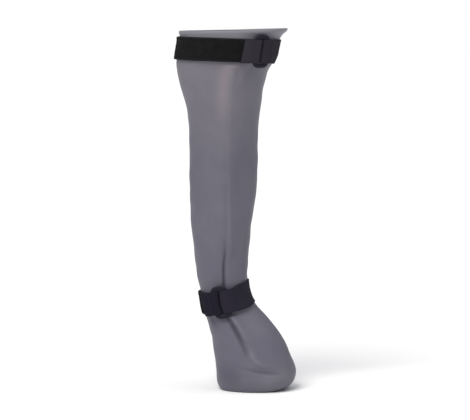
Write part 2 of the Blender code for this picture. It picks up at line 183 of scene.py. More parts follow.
# A row is one crease in the skin. depth is its height over the form in mm, below 0 for a
# trough; left and right are its reach in mm to either side of its line, seen along it;
# crisp is 2 for a soft swell and about 1 for a sharp crease; ends is the length in mm over
# which it dies away at its start and its end. The line is (turn, height) points in degrees
# and mm: turn 0 is the toe, -90 the outer side, 180 the heel.
FOLD_COLUMNS = ("depth", "left", "right", "crisp", "ends", "line")
FOLDS = (
    # the long edge down the outer side, from the ring to the ankle
    (2.2, 9.0, 15.0, 1.22, (8, 34), (
        (-79, 358), (-77, 336), (-78, 311), (-80, 286), (-82, 262), (-82, 237), (-80, 212),
        (-76, 187), (-71, 163), (-67, 138),
    )),
    (0.7, 3.0, 2.6, 1.6, (44, 20), (
        (-81, 262), (-80, 250), (-79, 225), (-76, 200), (-73, 175), (-71, 152), (-70, 136),
        (-72, 124),
    )),
    (-0.6, 2.8, 2.8, 1.8, (28, 14), ((-86, 243), (-84, 225), (-82.5, 200), (-80, 175), (-79, 162))),
    (0.5, 5.0, 4.0, 2.0, (30, 30), ((-94, 288), (-93, 250), (-92, 225), (-91, 200), (-90, 170))),
    # the sharp groove that runs under the lower strap and on over the foot
    (-0.8, 2.5, 5.5, 1.8, (18, 16), ((-84, 178), (-83, 162), (-84, 150), (-86, 136))),
    (-2.6, 2.2, 2.2, 1.35, (56, 6), (
        (-79, 184), (-80, 163), (-81, 150), (-84, 138), (-86, 125), (-88, 117), (-94, 106),
    )),
    (-1.9, 3.3, 3.3, 1.6, (5, 46), (
        (-104, 92), (-103, 80), (-102, 70), (-101, 61), (-100, 53), (-98.5, 46), (-98, 39),
        (-97, 31),
    )),
    (-1.1, 5.4, 4.0, 1.8, (10, 20), (
        (-103, 78), (-102, 68), (-101, 58), (-99.5, 47), (-98, 36), (-96, 27),
    )),
    (1.8, 9.0, 3.0, 1.6, (8, 26), (
        (-97, 92), (-94, 80), (-92, 67), (-91, 60), (-90, 53), (-89, 46), (-88, 39), (-84, 33),
        (-72, 29), (-50, 28),
    )),
    (1.1, 3.8, 3.0, 1.8, (10, 24), (
        (-95, 82), (-91.6, 66), (-91.2, 50), (-88.6, 36), (-81, 30.5), (-69, 28.5), (-54, 28),
    )),
    # the crease over the toe's roll
    (-1.5, 3.6, 2.8, 1.6, (26, 22), (
        (-124, 28), (-112, 26), (-100, 25), (-90, 23.5), (-79, 22.5), (-66, 21.5), (-52, 21),
        (-38, 22),
    )),
    (0.5, 5.0, 5.0, 2.0, (26, 26), ((-112, 17), (-90, 13), (-60, 12), (-30, 13))),
    # short gathers under the upper ring and strap
    (-0.6, 2.0, 2.2, 1.7, (2, 20), ((-69, 356), (-70, 342), (-72, 322))),
    (0.45, 2.6, 2.6, 1.8, (2, 18), ((-61, 356), (-62, 342), (-64, 326))),
    (-0.4, 2.6, 2.6, 1.8, (2, 16), ((-52, 355), (-54, 344), (-57, 328))),
    (0.4, 3.0, 3.0, 2.0, (2, 18), ((-36, 354), (-38, 342), (-41, 326))),
    (0.4, 3.5, 3.5, 2.0, (2, 20), ((-128, 356), (-126, 342), (-121, 318))),
    (-0.45, 3.0, 3.0, 2.0, (2, 18), ((-148, 356), (-145, 342), (-140, 322))),
    # gathers round the ankle on the outer side and in front
    (0.35, 4.0, 4.0, 2.0, (3, 18), ((-56, 122), (-57, 136), (-59, 154))),
    (-0.5, 3.0, 3.0, 1.8, (3, 18), ((-34, 124), (-35, 138), (-38, 158))),
    (-0.4, 3.0, 3.0, 1.9, (3, 14), ((-134, 110), (-132, 122), (-128, 138))),
    (-0.5, 3.2, 3.2, 1.8, (3, 16), ((-140, 86), (-137, 74), (-131, 58))),
    (0.35, 4.0, 4.0, 2.0, (3, 18), ((-124, 88), (-121, 74), (-116, 56))),
    (-0.4, 4.5, 4.5, 2.0, (3, 20), ((-52, 94), (-48, 80), (-43, 62))),
    (-0.6, 3.4, 3.4, 1.8, (3, 18), ((-22, 94), (-19, 80), (-16, 64))),
    # the bend over the instep
    (-0.7, 4.5, 4.5, 1.8, (20, 20), ((-40, 131), (-20, 127), (4, 125), (28, 127), (50, 132))),
    (0.5, 5.0, 5.0, 2.0, (20, 20), ((-36, 142), (-12, 137), (16, 136), (42, 143))),
    # the inner side
    (1.9, 14.0, 11.0, 1.4, (12, 30), (
        (98, 356), (96, 320), (93, 280), (90, 240), (85, 200), (79, 164), (74, 140),
    )),
    (-1.9, 2.2, 2.2, 1.4, (26, 6), ((82, 180), (84, 160), (86, 144), (90, 126), (95, 108))),
    (-1.9, 2.4, 2.2, 1.45, (6, 24), ((106, 92), (105, 78), (102, 64), (99, 50), (96, 36))),
    (1.3, 3.4, 7.0, 1.6, (8, 22), (
        (99, 92), (97, 76), (93, 60), (89, 46), (82, 36), (70, 31), (50, 28),
    )),
    (-0.6, 3.0, 3.0, 1.7, (3, 16), ((58, 122), (57, 136), (54, 154))),
    (0.5, 3.4, 3.4, 1.9, (3, 18), ((122, 112), (120, 128), (116, 150))),
    (-0.7, 3.0, 3.0, 1.7, (3, 18), ((130, 88), (127, 74), (121, 56))),
    (-0.6, 3.2, 3.2, 1.7, (3, 18), ((58, 92), (54, 78), (49, 60))),
    (0.5, 3.6, 3.6, 1.9, (3, 20), ((34, 94), (31, 78), (27, 58))),
    (-1.0, 3.0, 2.6, 1.7, (24, 24), ((108, 30), (92, 27), (72, 24), (46, 22), (18, 22))),
    (0.5, 3.0, 3.0, 2.0, (2, 18), ((66, 356), (64, 342), (62, 320))),
    (-0.5, 3.0, 3.0, 1.8, (2, 16), ((124, 356), (121, 342), (117, 324))),
    # the heel side
    (-1.3, 2.4, 2.4, 1.5, (26, 4), ((168, 178), (170, 152), (173, 126), (176, 108))),
    (0.9, 4.0, 3.0, 1.8, (26, 4), ((156, 172), (157, 148), (159, 124), (161, 108))),
    (-1.1, 2.8, 2.8, 1.6, (4, 18), ((172, 84), (170, 70), (166, 52))),
    (-0.5, 4.5, 4.5, 1.9, (16, 16), ((150, 62), (172, 57), (194, 60), (214, 66))),
)
# Broad flats in front of the long edges. The rows read as a fold's do.
FLATS = (
    (-2.0, 13.0, 14.0, 2.0, (10, 26), (
        (-50, 362), (-47, 330), (-48, 290), (-50, 250), (-48, 210), (-44, 170), (-40, 135),
        (-39, 122),
    )),
    (-1.6, 13.0, 14.0, 2.0, (12, 40), ((50, 356), (48, 310), (46, 250), (42, 200), (38, 150))),
)
# Painted highlights: the skin is painted paler and warmer where the light catches it. The
# rows read as a fold's do, with a share of that colour in place of the depth.
PAINTED_HIGHLIGHTS = (
    (1.0, 6.0, 9.0, 2.0, (12, 70), ((-85, 357), (-86, 342), (-89, 318), (-90, 296), (-90, 266))),
    (0.35, 5.0, 5.0, 2.0, (4, 16), ((-75, 362), (-76, 346), (-77, 330))),
    (0.6, 6.0, 6.0, 2.0, (14, 60), ((108, 356), (107, 330), (104, 296), (100, 262))),
)
# Patches of painted light, paler, and of painted shade, darker where the share is below 0.
PAINTED_LIGHT_PLACES = (
    (0.16, 14.0, 14.0, 2.0, (6, 16), ((-70, 96), (-62, 82), (-56, 70), (-50, 56))),
    (-0.62, 14.0, 14.0, 2.0, (12, 12), ((-176, 17), (-150, 19), (-124, 17), (-104, 14))),
    (0.28, 13.0, 13.0, 2.0, (16, 12), ((-96, 10), (-72, 12), (-46, 17), (-24, 22))),
    (0.32, 3.0, 3.0, 2.0, (14, 18), ((-91.5, 54), (-90.5, 43), (-88, 35), (-81, 30), (-68, 28.5))),
    (0.26, 2.4, 2.4, 2.0, (3, 16), ((-98.5, 92), (-96, 84), (-94.2, 74), (-93, 64), (-92.2, 54))),
    (0.10, 15.0, 15.0, 2.0, (40, 30), ((-114, 315), (-113, 250), (-110, 200), (-106, 140))),
    (-0.20, 14.0, 14.0, 2.0, (30, 20), ((-172, 320), (-170, 250), (-170, 200), (-168, 130))),
    (0.09, 14.0, 14.0, 2.0, (34, 30), ((-40, 258), (-40, 225), (-40, 190), (-42, 140))),
    (0.25, 12.0, 12.0, 2.0, (10, 20), ((36, 84), (50, 70), (60, 52))),
)
# Slow unevenness of the skin: size in mm, waves round the sock, waves per metre up it, and
# the angle at which the wave starts.
SWELLS = (
    (0.32, 2, 9.0, 0.7),
    (0.26, 3, -13.0, 2.1),
    (0.18, 5, 21.0, 4.0),
    (0.12, 7, -34.0, 1.3),
    (0.10, 4, 47.0, 5.2),
)
# A fold counts as far from its line as this many times its reach, and narrows to NARROW of
# it at its ends. Spans that are no further off than the nearest one by about SPAN_BLEND,
# and by that share of its distance, blend with it.
FOLD_CUT = 4.0
NARROW = 0.55
SPAN_BLEND = 0.15
# A strap presses crests down to PRESSED, from PRESS_MARGIN beyond its edges inwards, and
# less and less over PRESS_FADE outwards.
PRESSED = 0.1
PRESS_MARGIN = 0.5
PRESS_FADE = 5.0
# The sole stays flat up to SOLE_CALM, and the folds grow to their full height over
# SOLE_FADE.
SOLE_CALM = 0.2
SOLE_FADE = 9.0


# ------------------------------------------------------------------ arrays


def smooth(value):
    """Eases from 0 to 1."""
    value = np.clip(value, 0.0, 1.0)
    return value * value * (3.0 - 2.0 * value)


def unit(vectors):
    """The same directions at a length of 1."""
    return vectors / np.maximum(np.linalg.norm(vectors, axis=-1, keepdims=True), 1e-12)


def matched(a, b):
    """Both as arrays of one shape."""
    return np.broadcast_arrays(np.asarray(a, float), np.asarray(b, float))


def run_along(steps):
    """Distances along a line, from the lengths of its steps."""
    return np.concatenate([[0.0], np.cumsum(steps)])


# ------------------------------------------------------------------ the sock's form


def all_sections():
    """The sections of the roll under the foot, and those above it."""
    _, back, front, half_width, egg, square, pitch = SECTIONS[0]
    rows = []
    for share in ROLL_SHARES:
        inset = 1.0 - math.sqrt(1.0 - (1.0 - share) ** 2)
        ends = (back + HEEL_ROLL * inset, front - TOE_ROLL * inset)
        rows.append((share * ROLL_HEIGHT, *ends, half_width - SIDE_ROLL * inset, egg, square, pitch))
    return np.array([*rows, *SECTIONS])


ROWS = all_sections()
KNOTS = run_along(np.linalg.norm(np.diff(ROWS[:, :4], axis=0) * SECTION_WEIGHTS, axis=1))
LENGTH = float(KNOTS[-1])


def row_slopes():
    """How fast each column changes at each section, for a smooth form between them."""
    step = np.diff(KNOTS)[:, None]
    rate = np.diff(ROWS, axis=0) / step
    inner = (rate[:-1] * step[1:] + rate[1:] * step[:-1]) / (step[:-1] + step[1:])
    return np.concatenate([rate[:1], inner, rate[-1:]])


SLOPES = row_slopes()


def sections_at(way):
    """Columns of the sections at these distances along the wall from the sole."""
    way = np.clip(way, 0.0, LENGTH)
    k = np.clip(np.searchsorted(KNOTS, way, side="right") - 1, 0, len(KNOTS) - 2)
    step = (KNOTS[k + 1] - KNOTS[k])[..., None]
    s = (way - KNOTS[k])[..., None] / step
    values = (
        ROWS[k] * (1 + 2 * s) * (1 - s) ** 2
        + SLOPES[k] * step * s * (1 - s) ** 2
        + ROWS[k + 1] * s * s * (3 - 2 * s)
        + SLOPES[k + 1] * step * s * s * (s - 1)
    )
    return {name: values[..., i] for i, name in enumerate(SECTION_COLUMNS)}


def outer_points(way, turn):
    """Points of the sock's smooth outer form, in mm from the ankle's axis."""
    way, turn = matched(way, turn)
    cut = sections_at(way)
    c, s = np.cos(turn), np.sin(turn)
    reach = (np.abs(c) ** cut["square"] + np.abs(s) ** cut["square"]) ** (-1.0 / cut["square"])
    along = reach * c * (cut["front"] - cut["back"]) / 2
    lean = SHAFT_LEAN * np.maximum(cut["height"] - LEAN_FROM, 0.0)
    x = (cut["front"] + cut["back"]) / 2 + along + lean
    y = reach * s * cut["half_width"] * (1 + cut["egg"] * c)
    return np.stack((x, y, cut["height"] + cut["pitch"] * along), axis=-1)


def outer_normals(way, turn, step=0.5, half_angle=0.02):
    """Outward directions of the smooth form, straight down where the sole begins."""
    way, turn = matched(way, turn)
    around = outer_points(way, turn + half_angle) - outer_points(way, turn - half_angle)
    above, below = np.minimum(way + step, LENGTH), np.maximum(way - step, 0.0)
    normals = unit(np.cross(around, outer_points(above, turn) - outer_points(below, turn)))
    normals[way < step / 2] = (0.0, 0.0, -1.0)
    return normals


# Heights at fine steps along the wall, to look up one from the other.
GRID_STEPS = 4000
GRID_WAYS = np.linspace(0.0, LENGTH, GRID_STEPS + 1)
GRID_HEIGHTS = sections_at(GRID_WAYS)["height"]


def ways_at(height, turn, rounds=5):
    """Distance along the wall at which the outer form has these heights."""
    height, turn = matched(height, turn)
    way = np.interp(height, GRID_HEIGHTS, GRID_WAYS)
    for _ in range(rounds):
        rise = outer_points(way, turn)[..., 2] - np.interp(way, GRID_WAYS, GRID_HEIGHTS)
        way = np.interp(height - rise, GRID_HEIGHTS, GRID_WAYS)
    return way


def origin_shift():
    """From the ankle's axis to the frame's origin, so that the form meets the solid."""
    x = outer_points(KNOTS[:, None], np.array([[0.0, math.pi]]))[..., 0]
    middle = (SOCK_LOW + SOCK_HIGH) / 2
    return np.array((middle[0] - (x.min() + x.max()) / 2, middle[1], SOCK_LOW[2]))


ORIGIN = origin_shift()


def to_frame(points):
    """Millimetres from the ankle's axis to metres in the object's frame."""
    return (np.asarray(points) + ORIGIN) * MM


def wall_at(height):
    """The wall's thickness."""
    return SOLE + (WALL - SOLE) * smooth((height - SOLE_TOP) / (WALL_FROM - SOLE_TOP))


# ------------------------------------------------------------------ folds in the skin


def smooth_line(points, per_span=6):
    """A smooth curve through a fold's points, as an array."""
    points = np.array(points, float)
    padded = np.concatenate([[2 * points[0] - points[1]], points, [2 * points[-1] - points[-2]]])
    made = []
    for a, b, c, d in zip(padded, padded[1:], padded[2:], padded[3:]):
        for s in np.arange(per_span) / per_span:
            bend = (2 * a - 5 * b + 4 * c - d) * s**2 + (3 * b - a - 3 * c + d) * s**3
            made.append(0.5 * (2 * b + (c - a) * s + bend))
    return np.array([*made, points[-1]])


def nearest_places(x, y):
    """The nearest place on each span of a line, from points that lie x and y off the
    line's own: its share of the span, its distance, and whether the point is left of it."""
    ax, ay = x[:, :-1], y[:, :-1]
    dx, dy = ax - x[:, 1:], ay - y[:, 1:]
    share = np.clip((ax * dx + ay * dy) / np.maximum(dx * dx + dy * dy, 1e-9), 0.0, 1.0)
    px, py = ax - share * dx, ay - share * dy
    return share, np.hypot(px, py), dx * py - dy * px > 0


def fold_height(fold, way, turn, metric):
    """Height of one fold at every point of the skin, in mm."""
    row = dict(zip(FOLD_COLUMNS, fold))
    line = smooth_line(row["line"])
    line_way = np.interp(line[:, 1], GRID_HEIGHTS, GRID_WAYS)
    line_turn = np.radians(line[:, 0])
    middle = line_turn.mean()
    line_turn = line_turn - middle
    reach = FOLD_CUT * max(row["left"], row["right"])
    off = (turn - middle + math.pi) % FULL_TURN - math.pi
    near = np.nonzero(
        (way > line_way.min() - reach)
        & (way < line_way.max() + reach)
        & (off > line_turn.min() - reach / metric)
        & (off < line_turn.max() + reach / metric)
    )[0]
    made = np.zeros(way.shape)
    if not len(near):
        return made
    x, y = (off[near, None] - line_turn) * metric[near, None], way[near, None] - line_way
    share, distance, on_left = nearest_places(x, y)
    steps = np.hypot(np.diff(line_turn) * metric[near].mean(), np.diff(line_way))
    run = run_along(steps)
    place = run[:-1] + share * steps
    alive = smooth(place / row["ends"][0]) * smooth((run[-1] - place) / row["ends"][1])
    width = np.where(on_left, row["left"], row["right"]) * (NARROW + (1.0 - NARROW) * alive)
    height = alive * np.exp(-((distance / width) ** row["crisp"]))
    # spans that lie about as near as the nearest one share in the height, so that the
    # inside of a bend has no edge of its own
    nearest = distance.min(axis=1, keepdims=True)
    weight = np.exp((nearest - distance) / (SPAN_BLEND + SPAN_BLEND * nearest))
    made[near] = row["depth"] * (height * weight).sum(axis=1) / weight.sum(axis=1)
    return made


def added_heights(rows, way, turn):
    """The sum of these folds at arrays of points."""
    cut = sections_at(way)
    half = (cut["front"] - cut["back"]) / 2
    # millimetres round the sock for each radian of turn
    metric = np.hypot(half * np.sin(turn), cut["half_width"] * np.cos(turn))
    return sum(fold_height(row, way, turn, metric) for row in rows)


def skin_relief(way, turn, strength):
    """How far the skin stands out from its smooth form, in mm, at arrays of points."""
    relief = added_heights(FOLDS + FLATS, way, turn)
    for size, around, upward, start in SWELLS:
        relief += size * np.sin(around * turn + FULL_TURN * upward * way * MM + start)
    relief *= strength
    for path in PATHS.values():
        off = np.abs(outer_points(way, turn)[..., 2] - path.centre_height(turn))
        under = 1.0 - smooth((off - WEB_WIDTH / 2 - PRESS_MARGIN) / PRESS_FADE)
        pressed = np.where(relief > 0.0, PRESSED * np.tanh(relief), relief)
        relief = relief * (1 - under) + pressed * under
    return relief * smooth((sections_at(way)["height"] - SOLE_CALM) / SOLE_FADE)


# ------------------------------------------------------------------ the straps' paths


class StrapPath:
    """Maps a strap's own directions to space: u along it from the ring's middle towards
    the toe, v across it upwards, h out from the sock's face, all in mm."""

    LAP_STEPS = 1440
    FLAT_TRIALS = 7

    def __init__(self, row):
        for name, value in zip(STRAP_COLUMNS, row):
            setattr(self, name, value)
        self.start = math.radians(self.turn)
        self.turns = np.linspace(0.0, FULL_TURN, self.LAP_STEPS + 1)
        turns = self.turns + self.start
        points = outer_points(ways_at(self.centre_height(turns), turns), turns)
        self.lengths = run_along(np.linalg.norm(np.diff(points, axis=0), axis=1))
        self.length = float(self.lengths[-1])
        self.set_flat()

    def centre_height(self, turn):
        """Height of the strap's middle line over the floor."""
        cut = sections_at(ways_at(self.height, turn))
        half = (cut["front"] - cut["back"]) / 2
        return self.height + self.rise * half * np.cos(turn) - self.sag * np.sin(turn) ** 2

    def turn_at(self, u):
        """The turn round the sock of these places along the strap."""
        laps = np.floor(u / self.length)
        turns = np.interp(u - laps * self.length, self.lengths, self.turns)
        return self.start + turns + laps * FULL_TURN

    def sock_frame(self, u, v):
        """The form's points under (u, v) and its outward normals there."""
        turn = self.turn_at(u)
        ahead, behind = self.turn_at(u + 0.5), self.turn_at(u - 0.5)
        climb = self.centre_height(ahead) - self.centre_height(behind)
        height = self.centre_height(turn) + v * np.sqrt(1 - climb * climb)
        turn = self.turn_at(u - v * climb)
        way = ways_at(height, turn)
        return outer_points(way, turn), outer_normals(way, turn)

    def set_flat(self):
        """The plane of the ring, lifted until the sock stays behind it."""
        zero = np.zeros(1)
        centre, self.normal = (a[0] for a in self.sock_frame(zero, zero))
        along = (self.sock_frame(zero + 1.0, zero)[0] - self.sock_frame(zero - 1.0, zero)[0])[0]
        self.along = unit(along - self.normal * (along @ self.normal))
        self.across = unit(np.cross(self.normal, self.along))
        reaches = (FLAT_HALF, WEB_WIDTH / 2)
        u, v = np.meshgrid(*(np.linspace(-reach, reach, self.FLAT_TRIALS) for reach in reaches))
        lift = ((self.sock_frame(u.ravel(), v.ravel())[0] - centre) @ self.normal).max()
        self.centre = centre + self.normal * max(lift, 0.0)

    def flat(self, u, v, h):
        """Points in the ring's plane, or h over it."""
        u, v, h = (np.asarray(a, float)[..., None] for a in (u, v, h))
        return self.centre + self.along * u + self.across * v + self.normal * h

    def frames(self, u, v):
        """The strap's base points and outward directions at arrays of (u, v)."""
        u, v = matched(u, v)
        near = (u + self.length / 2) % self.length - self.length / 2
        share = smooth((np.abs(near) - FLAT_HALF) / FLAT_BLEND)[..., None]
        points, normals = self.sock_frame(near, v)
        points = self.flat(near, v, np.zeros(near.shape)) * (1 - share) + points * share
        return points, unit(self.normal * (1 - share) + normals * share)

    def place(self, u, v, h):
        """Points of the strap in space."""
        points, normals = self.frames(u, v)
        return points + normals * np.broadcast_to(h, normals.shape[:-1])[..., None]


PATHS = {row[0]: StrapPath(row) for row in STRAPS}


# ------------------------------------------------------------------ mesh helpers


def grid_faces(rows, columns, closed_across=True, closed_along=False):
    """Quads of a grid whose vertices are numbered row by row, as lists."""
    r = np.arange(rows if closed_along else rows - 1)
    c = np.arange(columns if closed_across else columns - 1)
    r, c = np.meshgrid(r, c, indexing="ij")
    up, right = (r + 1) % rows, (c + 1) % columns
    corners = (r * columns + c, r * columns + right, up * columns + right, up * columns + c)
    return np.stack(corners, axis=-1).reshape(-1, 4).tolist()


def capped_faces(rows, columns):
    """Quads of a tube of rings, and a face over each of its ends."""
    last = (rows - 1) * columns
    ends = [list(range(columns))[::-1], list(range(last, last + columns))]
    return grid_faces(rows, columns) + ends


def new_object(name, data):
    made = bpy.data.objects.new(name, data)
    bpy.context.scene.collection.objects.link(made)
    return made


def mesh_object(name, points, faces, material, sharp_from=None):
    """A new object with this mesh, its place in its vertices. Its edges are smooth, or
    sharp from an angle in degrees."""
    data = bpy.data.meshes.new(name)
    data.from_pydata(np.asarray(points).tolist(), [], faces)
    data.validate()
    data.update()
    data.shade_smooth()
    if sharp_from:
        data.set_sharp_from_angle(angle=math.radians(sharp_from))
    data.materials.append(material)
    return new_object(name, data)


def face_out(data):
    """Turns a closed mesh's faces outwards."""
    mesh = bmesh.new()
    mesh.from_mesh(data)
    bmesh.ops.recalc_face_normals(mesh, faces=mesh.faces)
    mesh.to_mesh(data)
    mesh.free()


def add_attribute(data, name, values):
    """A number, or three for a direction, at each vertex."""
    values = np.asarray(values, np.float32)
    kind, field = ("FLOAT", "value") if values.ndim == 1 else ("FLOAT_VECTOR", "vector")
    data.attributes.new(name, kind, "POINT").data.foreach_set(field, values.ravel())


def add_uv(data, name, per_vertex):
    """A UV map from one pair of numbers for each vertex."""
    index = np.empty(len(data.loops), np.int32)
    data.loops.foreach_get("vertex_index", index)
    layer = data.uv_layers.new(name=name)
    layer.data.foreach_set("uv", np.asarray(per_vertex, np.float32)[index].ravel())


def settle(item, slot, *nodes):
    """Ties a finished piece to the frame."""
    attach(item, "root")
    if nodes:
        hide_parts(*nodes)


# ------------------------------------------------------------------ node helpers


class Nodes:
    """Adds nodes to one tree. Inputs map a socket's name or number to a value or to
    another socket."""

    def __init__(self, tree):
        self.tree = tree

    def feed(self, node, inputs):
        for key, value in inputs.items():
            if isinstance(value, bpy.types.NodeSocket):
                self.tree.links.new(value, node.inputs[key])
            else:
                node.inputs[key].default_value = value

    def put(self, kind, inputs=None, **settings):
        made = self.tree.nodes.new(kind)
        for key, value in settings.items():
            setattr(made, key, value)
        self.feed(made, inputs or {})
        return made

    def math(self, operation, *values, clamp=False):
        inputs = dict(enumerate(values))
        return self.put("ShaderNodeMath", inputs, operation=operation, use_clamp=clamp).outputs[0]

    def remap(self, value, low, high, to_low=0.0, to_high=1.0):
        inputs = {"Value": value, "From Min": low, "From Max": high, "To Min": to_low, "To Max": to_high}
        return self.put("ShaderNodeMapRange", inputs).outputs["Result"]

    def blend(self, share, first, second, mode="MIX"):
        """Blends two colours, each a socket or three numbers."""
        ends = (end if isinstance(end, bpy.types.NodeSocket) else (*end, 1.0) for end in (first, second))
        inputs = dict(zip((0, 6, 7), (share, *ends)))
        return self.put("ShaderNodeMix", inputs, data_type="RGBA", blend_type=mode).outputs[2]

    def noise(self, place, scale, detail, roughness=0.5):
        inputs = {"Vector": place, "Scale": scale, "Detail": detail, "Roughness": roughness}
        return self.put("ShaderNodeTexNoise", inputs).outputs["Fac"]

    def vector(self, x=0.0, y=0.0, z=0.0):
        return self.put("ShaderNodeCombineXYZ", {0: x, 1: y, 2: z}).outputs[0]

    def split(self, vector):
        return self.put("ShaderNodeSeparateXYZ", {0: vector}).outputs


def new_group(name, tree_kind, inputs, outputs):
    """A node group whose sockets are (name, kind, default) rows, and its inputs."""
    tree = bpy.data.node_groups.new(name, tree_kind)
    for way, sockets in (("INPUT", inputs), ("OUTPUT", outputs)):
        for title, kind, value in sockets:
            socket = tree.interface.new_socket(title, in_out=way, socket_type="NodeSocket" + kind)
            if value is not None:
                socket.default_value = value
    net = Nodes(tree)
    return net, net.put("NodeGroupInput").outputs[: len(inputs)]


# ------------------------------------------------------------------ surface effects


def fine_grain(net, place, grain, slow):
    """Fine matt grain with a slower unevenness."""
    return net.noise(place, grain, 3.0, 0.6), net.noise(place, slow, 4.0, 0.55)


def dust_specks(net, place, scale, amount):
    """Sparse pale specks of dust and lint, in patches."""
    cells = net.put("ShaderNodeTexVoronoi", {"Vector": place, "Scale": scale})
    dot = net.remap(cells.outputs["Distance"], 0.10, 0.03)
    where = net.remap(net.noise(place, 35.0, 2.0), 0.52, 0.66)
    return (net.math("MULTIPLY", net.math("MULTIPLY", dot, where), amount, clamp=True),)


def webbing_weave(net, chart, rib, column):
    """Plain webbing weave from a strap's own map: ribs across and columns along."""
    u, v, _ = net.split(chart)
    rib = net.math("DIVIDE", u, rib)
    column = net.math("DIVIDE", v, column)
    # every other column is half a rib further on
    odd = net.math("MULTIPLY", net.math("FLOOR", column), 0.5)
    rib_wave = net.math("SINE", net.math("MULTIPLY", net.math("ADD", rib, odd), FULL_TURN))
    column_wave = net.math("ABSOLUTE", net.math("SINE", net.math("MULTIPLY", column, math.pi)))
    crown = net.math("POWER", column_wave, 0.5)
    height = net.math("MULTIPLY", net.math("MULTIPLY_ADD", rib_wave, 0.3, 0.7), crown)
    frizz = net.remap(net.noise(chart, 2.2, 5.0, 0.7), 0.3, 0.7, 0.6, 1.2)
    return height, net.math("MULTIPLY", height, frizz, clamp=True)


# An effect's function, its numbers with their defaults, and its outputs.
EFFECTS = {
    "FineGrain": (fine_grain, {"Grain": 2600.0, "Slow": 60.0}, ("Height", "Cloud")),
    "Specks": (dust_specks, {"Scale": 420.0, "Amount": 0.5}, ("Mask",)),
    "WebbingWeave": (webbing_weave, {"Rib": 1.4, "Column": 2.1}, ("Height", "Thread")),
}


def effect_group(name):
    """The node group of an effect, built once."""
    if name in bpy.data.node_groups:
        return bpy.data.node_groups[name]
    effect, numbers, outputs = EFFECTS[name]
    inputs = [("Vector", "Vector", None)] + [(title, "Float", value) for title, value in numbers.items()]
    sinks = [(title, "Float", None) for title in outputs]
    net, sources = new_group(name, "ShaderNodeTree", inputs, sinks)
    net.put("NodeGroupOutput", dict(zip(outputs, effect(net, *sources))))
    return net.tree


class Surface(Nodes):
    """The nodes of one material, round a Principled shader."""

    def __init__(self, name):
        self.material = bpy.data.materials.new(name)
        self.material.use_nodes = True
        super().__init__(self.material.node_tree)
        self.tree.nodes.clear()
        self.shader = self.put("ShaderNodeBsdfPrincipled")
        self.put("ShaderNodeOutputMaterial", {"Surface": self.shader.outputs[0]})
        self.place = self.put("ShaderNodeTexCoord").outputs["Object"]

    def attribute(self, name):
        return self.put("ShaderNodeAttribute", attribute_name=name).outputs["Fac"]

    def strap_map(self):
        return self.put("ShaderNodeUVMap", uv_map="strap").outputs[0]

    def effect(self, name, place, **numbers):
        """An effect's outputs, with this material's numbers."""
        inputs = {"Vector": place, **numbers}
        return self.put("ShaderNodeGroup", inputs, node_tree=effect_group(name)).outputs

    def speckle(self, colour, share, lint, **numbers):
        """The colour with specks of lint on it."""
        mask = self.effect("Specks", self.place, **numbers)["Mask"]
        return self.blend(self.math("MULTIPLY", mask, share), colour, lint)

    def bump(self, height, distance, strength, **more):
        inputs = {"Height": height, "Distance": distance, "Strength": strength, **more}
        return self.put("ShaderNodeBump", inputs).outputs["Normal"]

    def finish(self, inputs):
        """Feeds the shader, and gives the finished material."""
        self.feed(self.shader, inputs)
        return self.material


# ------------------------------------------------------------------ materials

# Heights in metres: where the shaft turns pale, where the collar turns cool, and where the
# lower strap's colours, painted darker as shade, give way to the upper one's.
PALE_FROM = (0.245, 0.318)
COOL_FROM = (0.374, 0.384)
UPPER_FROM = (0.15, 0.30)


def silicone_material(colours):
    """Smooth half-matt silicone, paler high up the shaft and cooler at the collar, with painted highlights
    on crests and in the highlight rows, painted shade in creases, and patches of painted light and shade.
    """
    skin = Surface("silicone")
    relief, thin, tone = (skin.attribute(name) for name in ("relief", "thin", "tone"))
    height = skin.split(skin.place)[2]
    grain = skin.effect("FineGrain", skin.place, Grain=2400.0, Slow=34.0)
    up = skin.remap(height, *PALE_FROM, 0.0, 0.41)
    cloud = skin.remap(grain["Cloud"], 0.3, 0.7, -0.12, 0.12)
    # painted highlight: the folds' crests are painted paler
    crest_highlight = skin.remap(relief, 0.3, 2.2, 0.0, 0.12)
    pale = skin.math("ADD", skin.math("ADD", up, cloud), crest_highlight, clamp=True)
    rim = skin.remap(height, *COOL_FROM, 0.0, 0.85)
    # the collar's band, and the patches of painted light, turn towards the cool colour
    cool = skin.math("ADD", rim, skin.math("MAXIMUM", tone, 0.0), clamp=True)
    # the painted highlights take up to 0.40 of their colour
    highlight_share = skin.math("MULTIPLY", thin, 0.40, clamp=True)
    # painted shade: the skin inside the creases is painted darker
    trough = skin.remap(relief, -0.5, -2.4, 0.0, 0.75)
    # painted shade where a patch's share is below 0
    painted_shade = skin.math("MULTIPLY", tone, -0.6, clamp=True)
    colour = skin.blend(pale, colours.silicone, colours.pale)
    colour = skin.blend(cool, colour, colours.cool)
    colour = skin.blend(highlight_share, colour, colours.thin)
    colour = skin.blend(trough, colour, colours.painted_shade)
    colour = skin.blend(painted_shade, colour, colours.painted_shade)
    uneven = skin.bump(skin.noise(skin.place, 75.0, 2.0, 0.45), 0.0012, 0.10)
    return skin.finish(
        {
            "Base Color": skin.speckle(colour, 0.5, (0.45, 0.44, 0.46), Scale=260.0, Amount=0.35),
            "Roughness": skin.remap(grain["Cloud"], 0.3, 0.7, 0.40, 0.54),
            "Normal": skin.bump(grain["Height"], 0.0003, 0.20, Normal=uneven),
            "Specular IOR Level": 0.20,
            "Subsurface Weight": 0.12,
            "Subsurface Radius": (1.0, 0.85, 0.9),
            "Subsurface Scale": 0.0025,
        }
    )


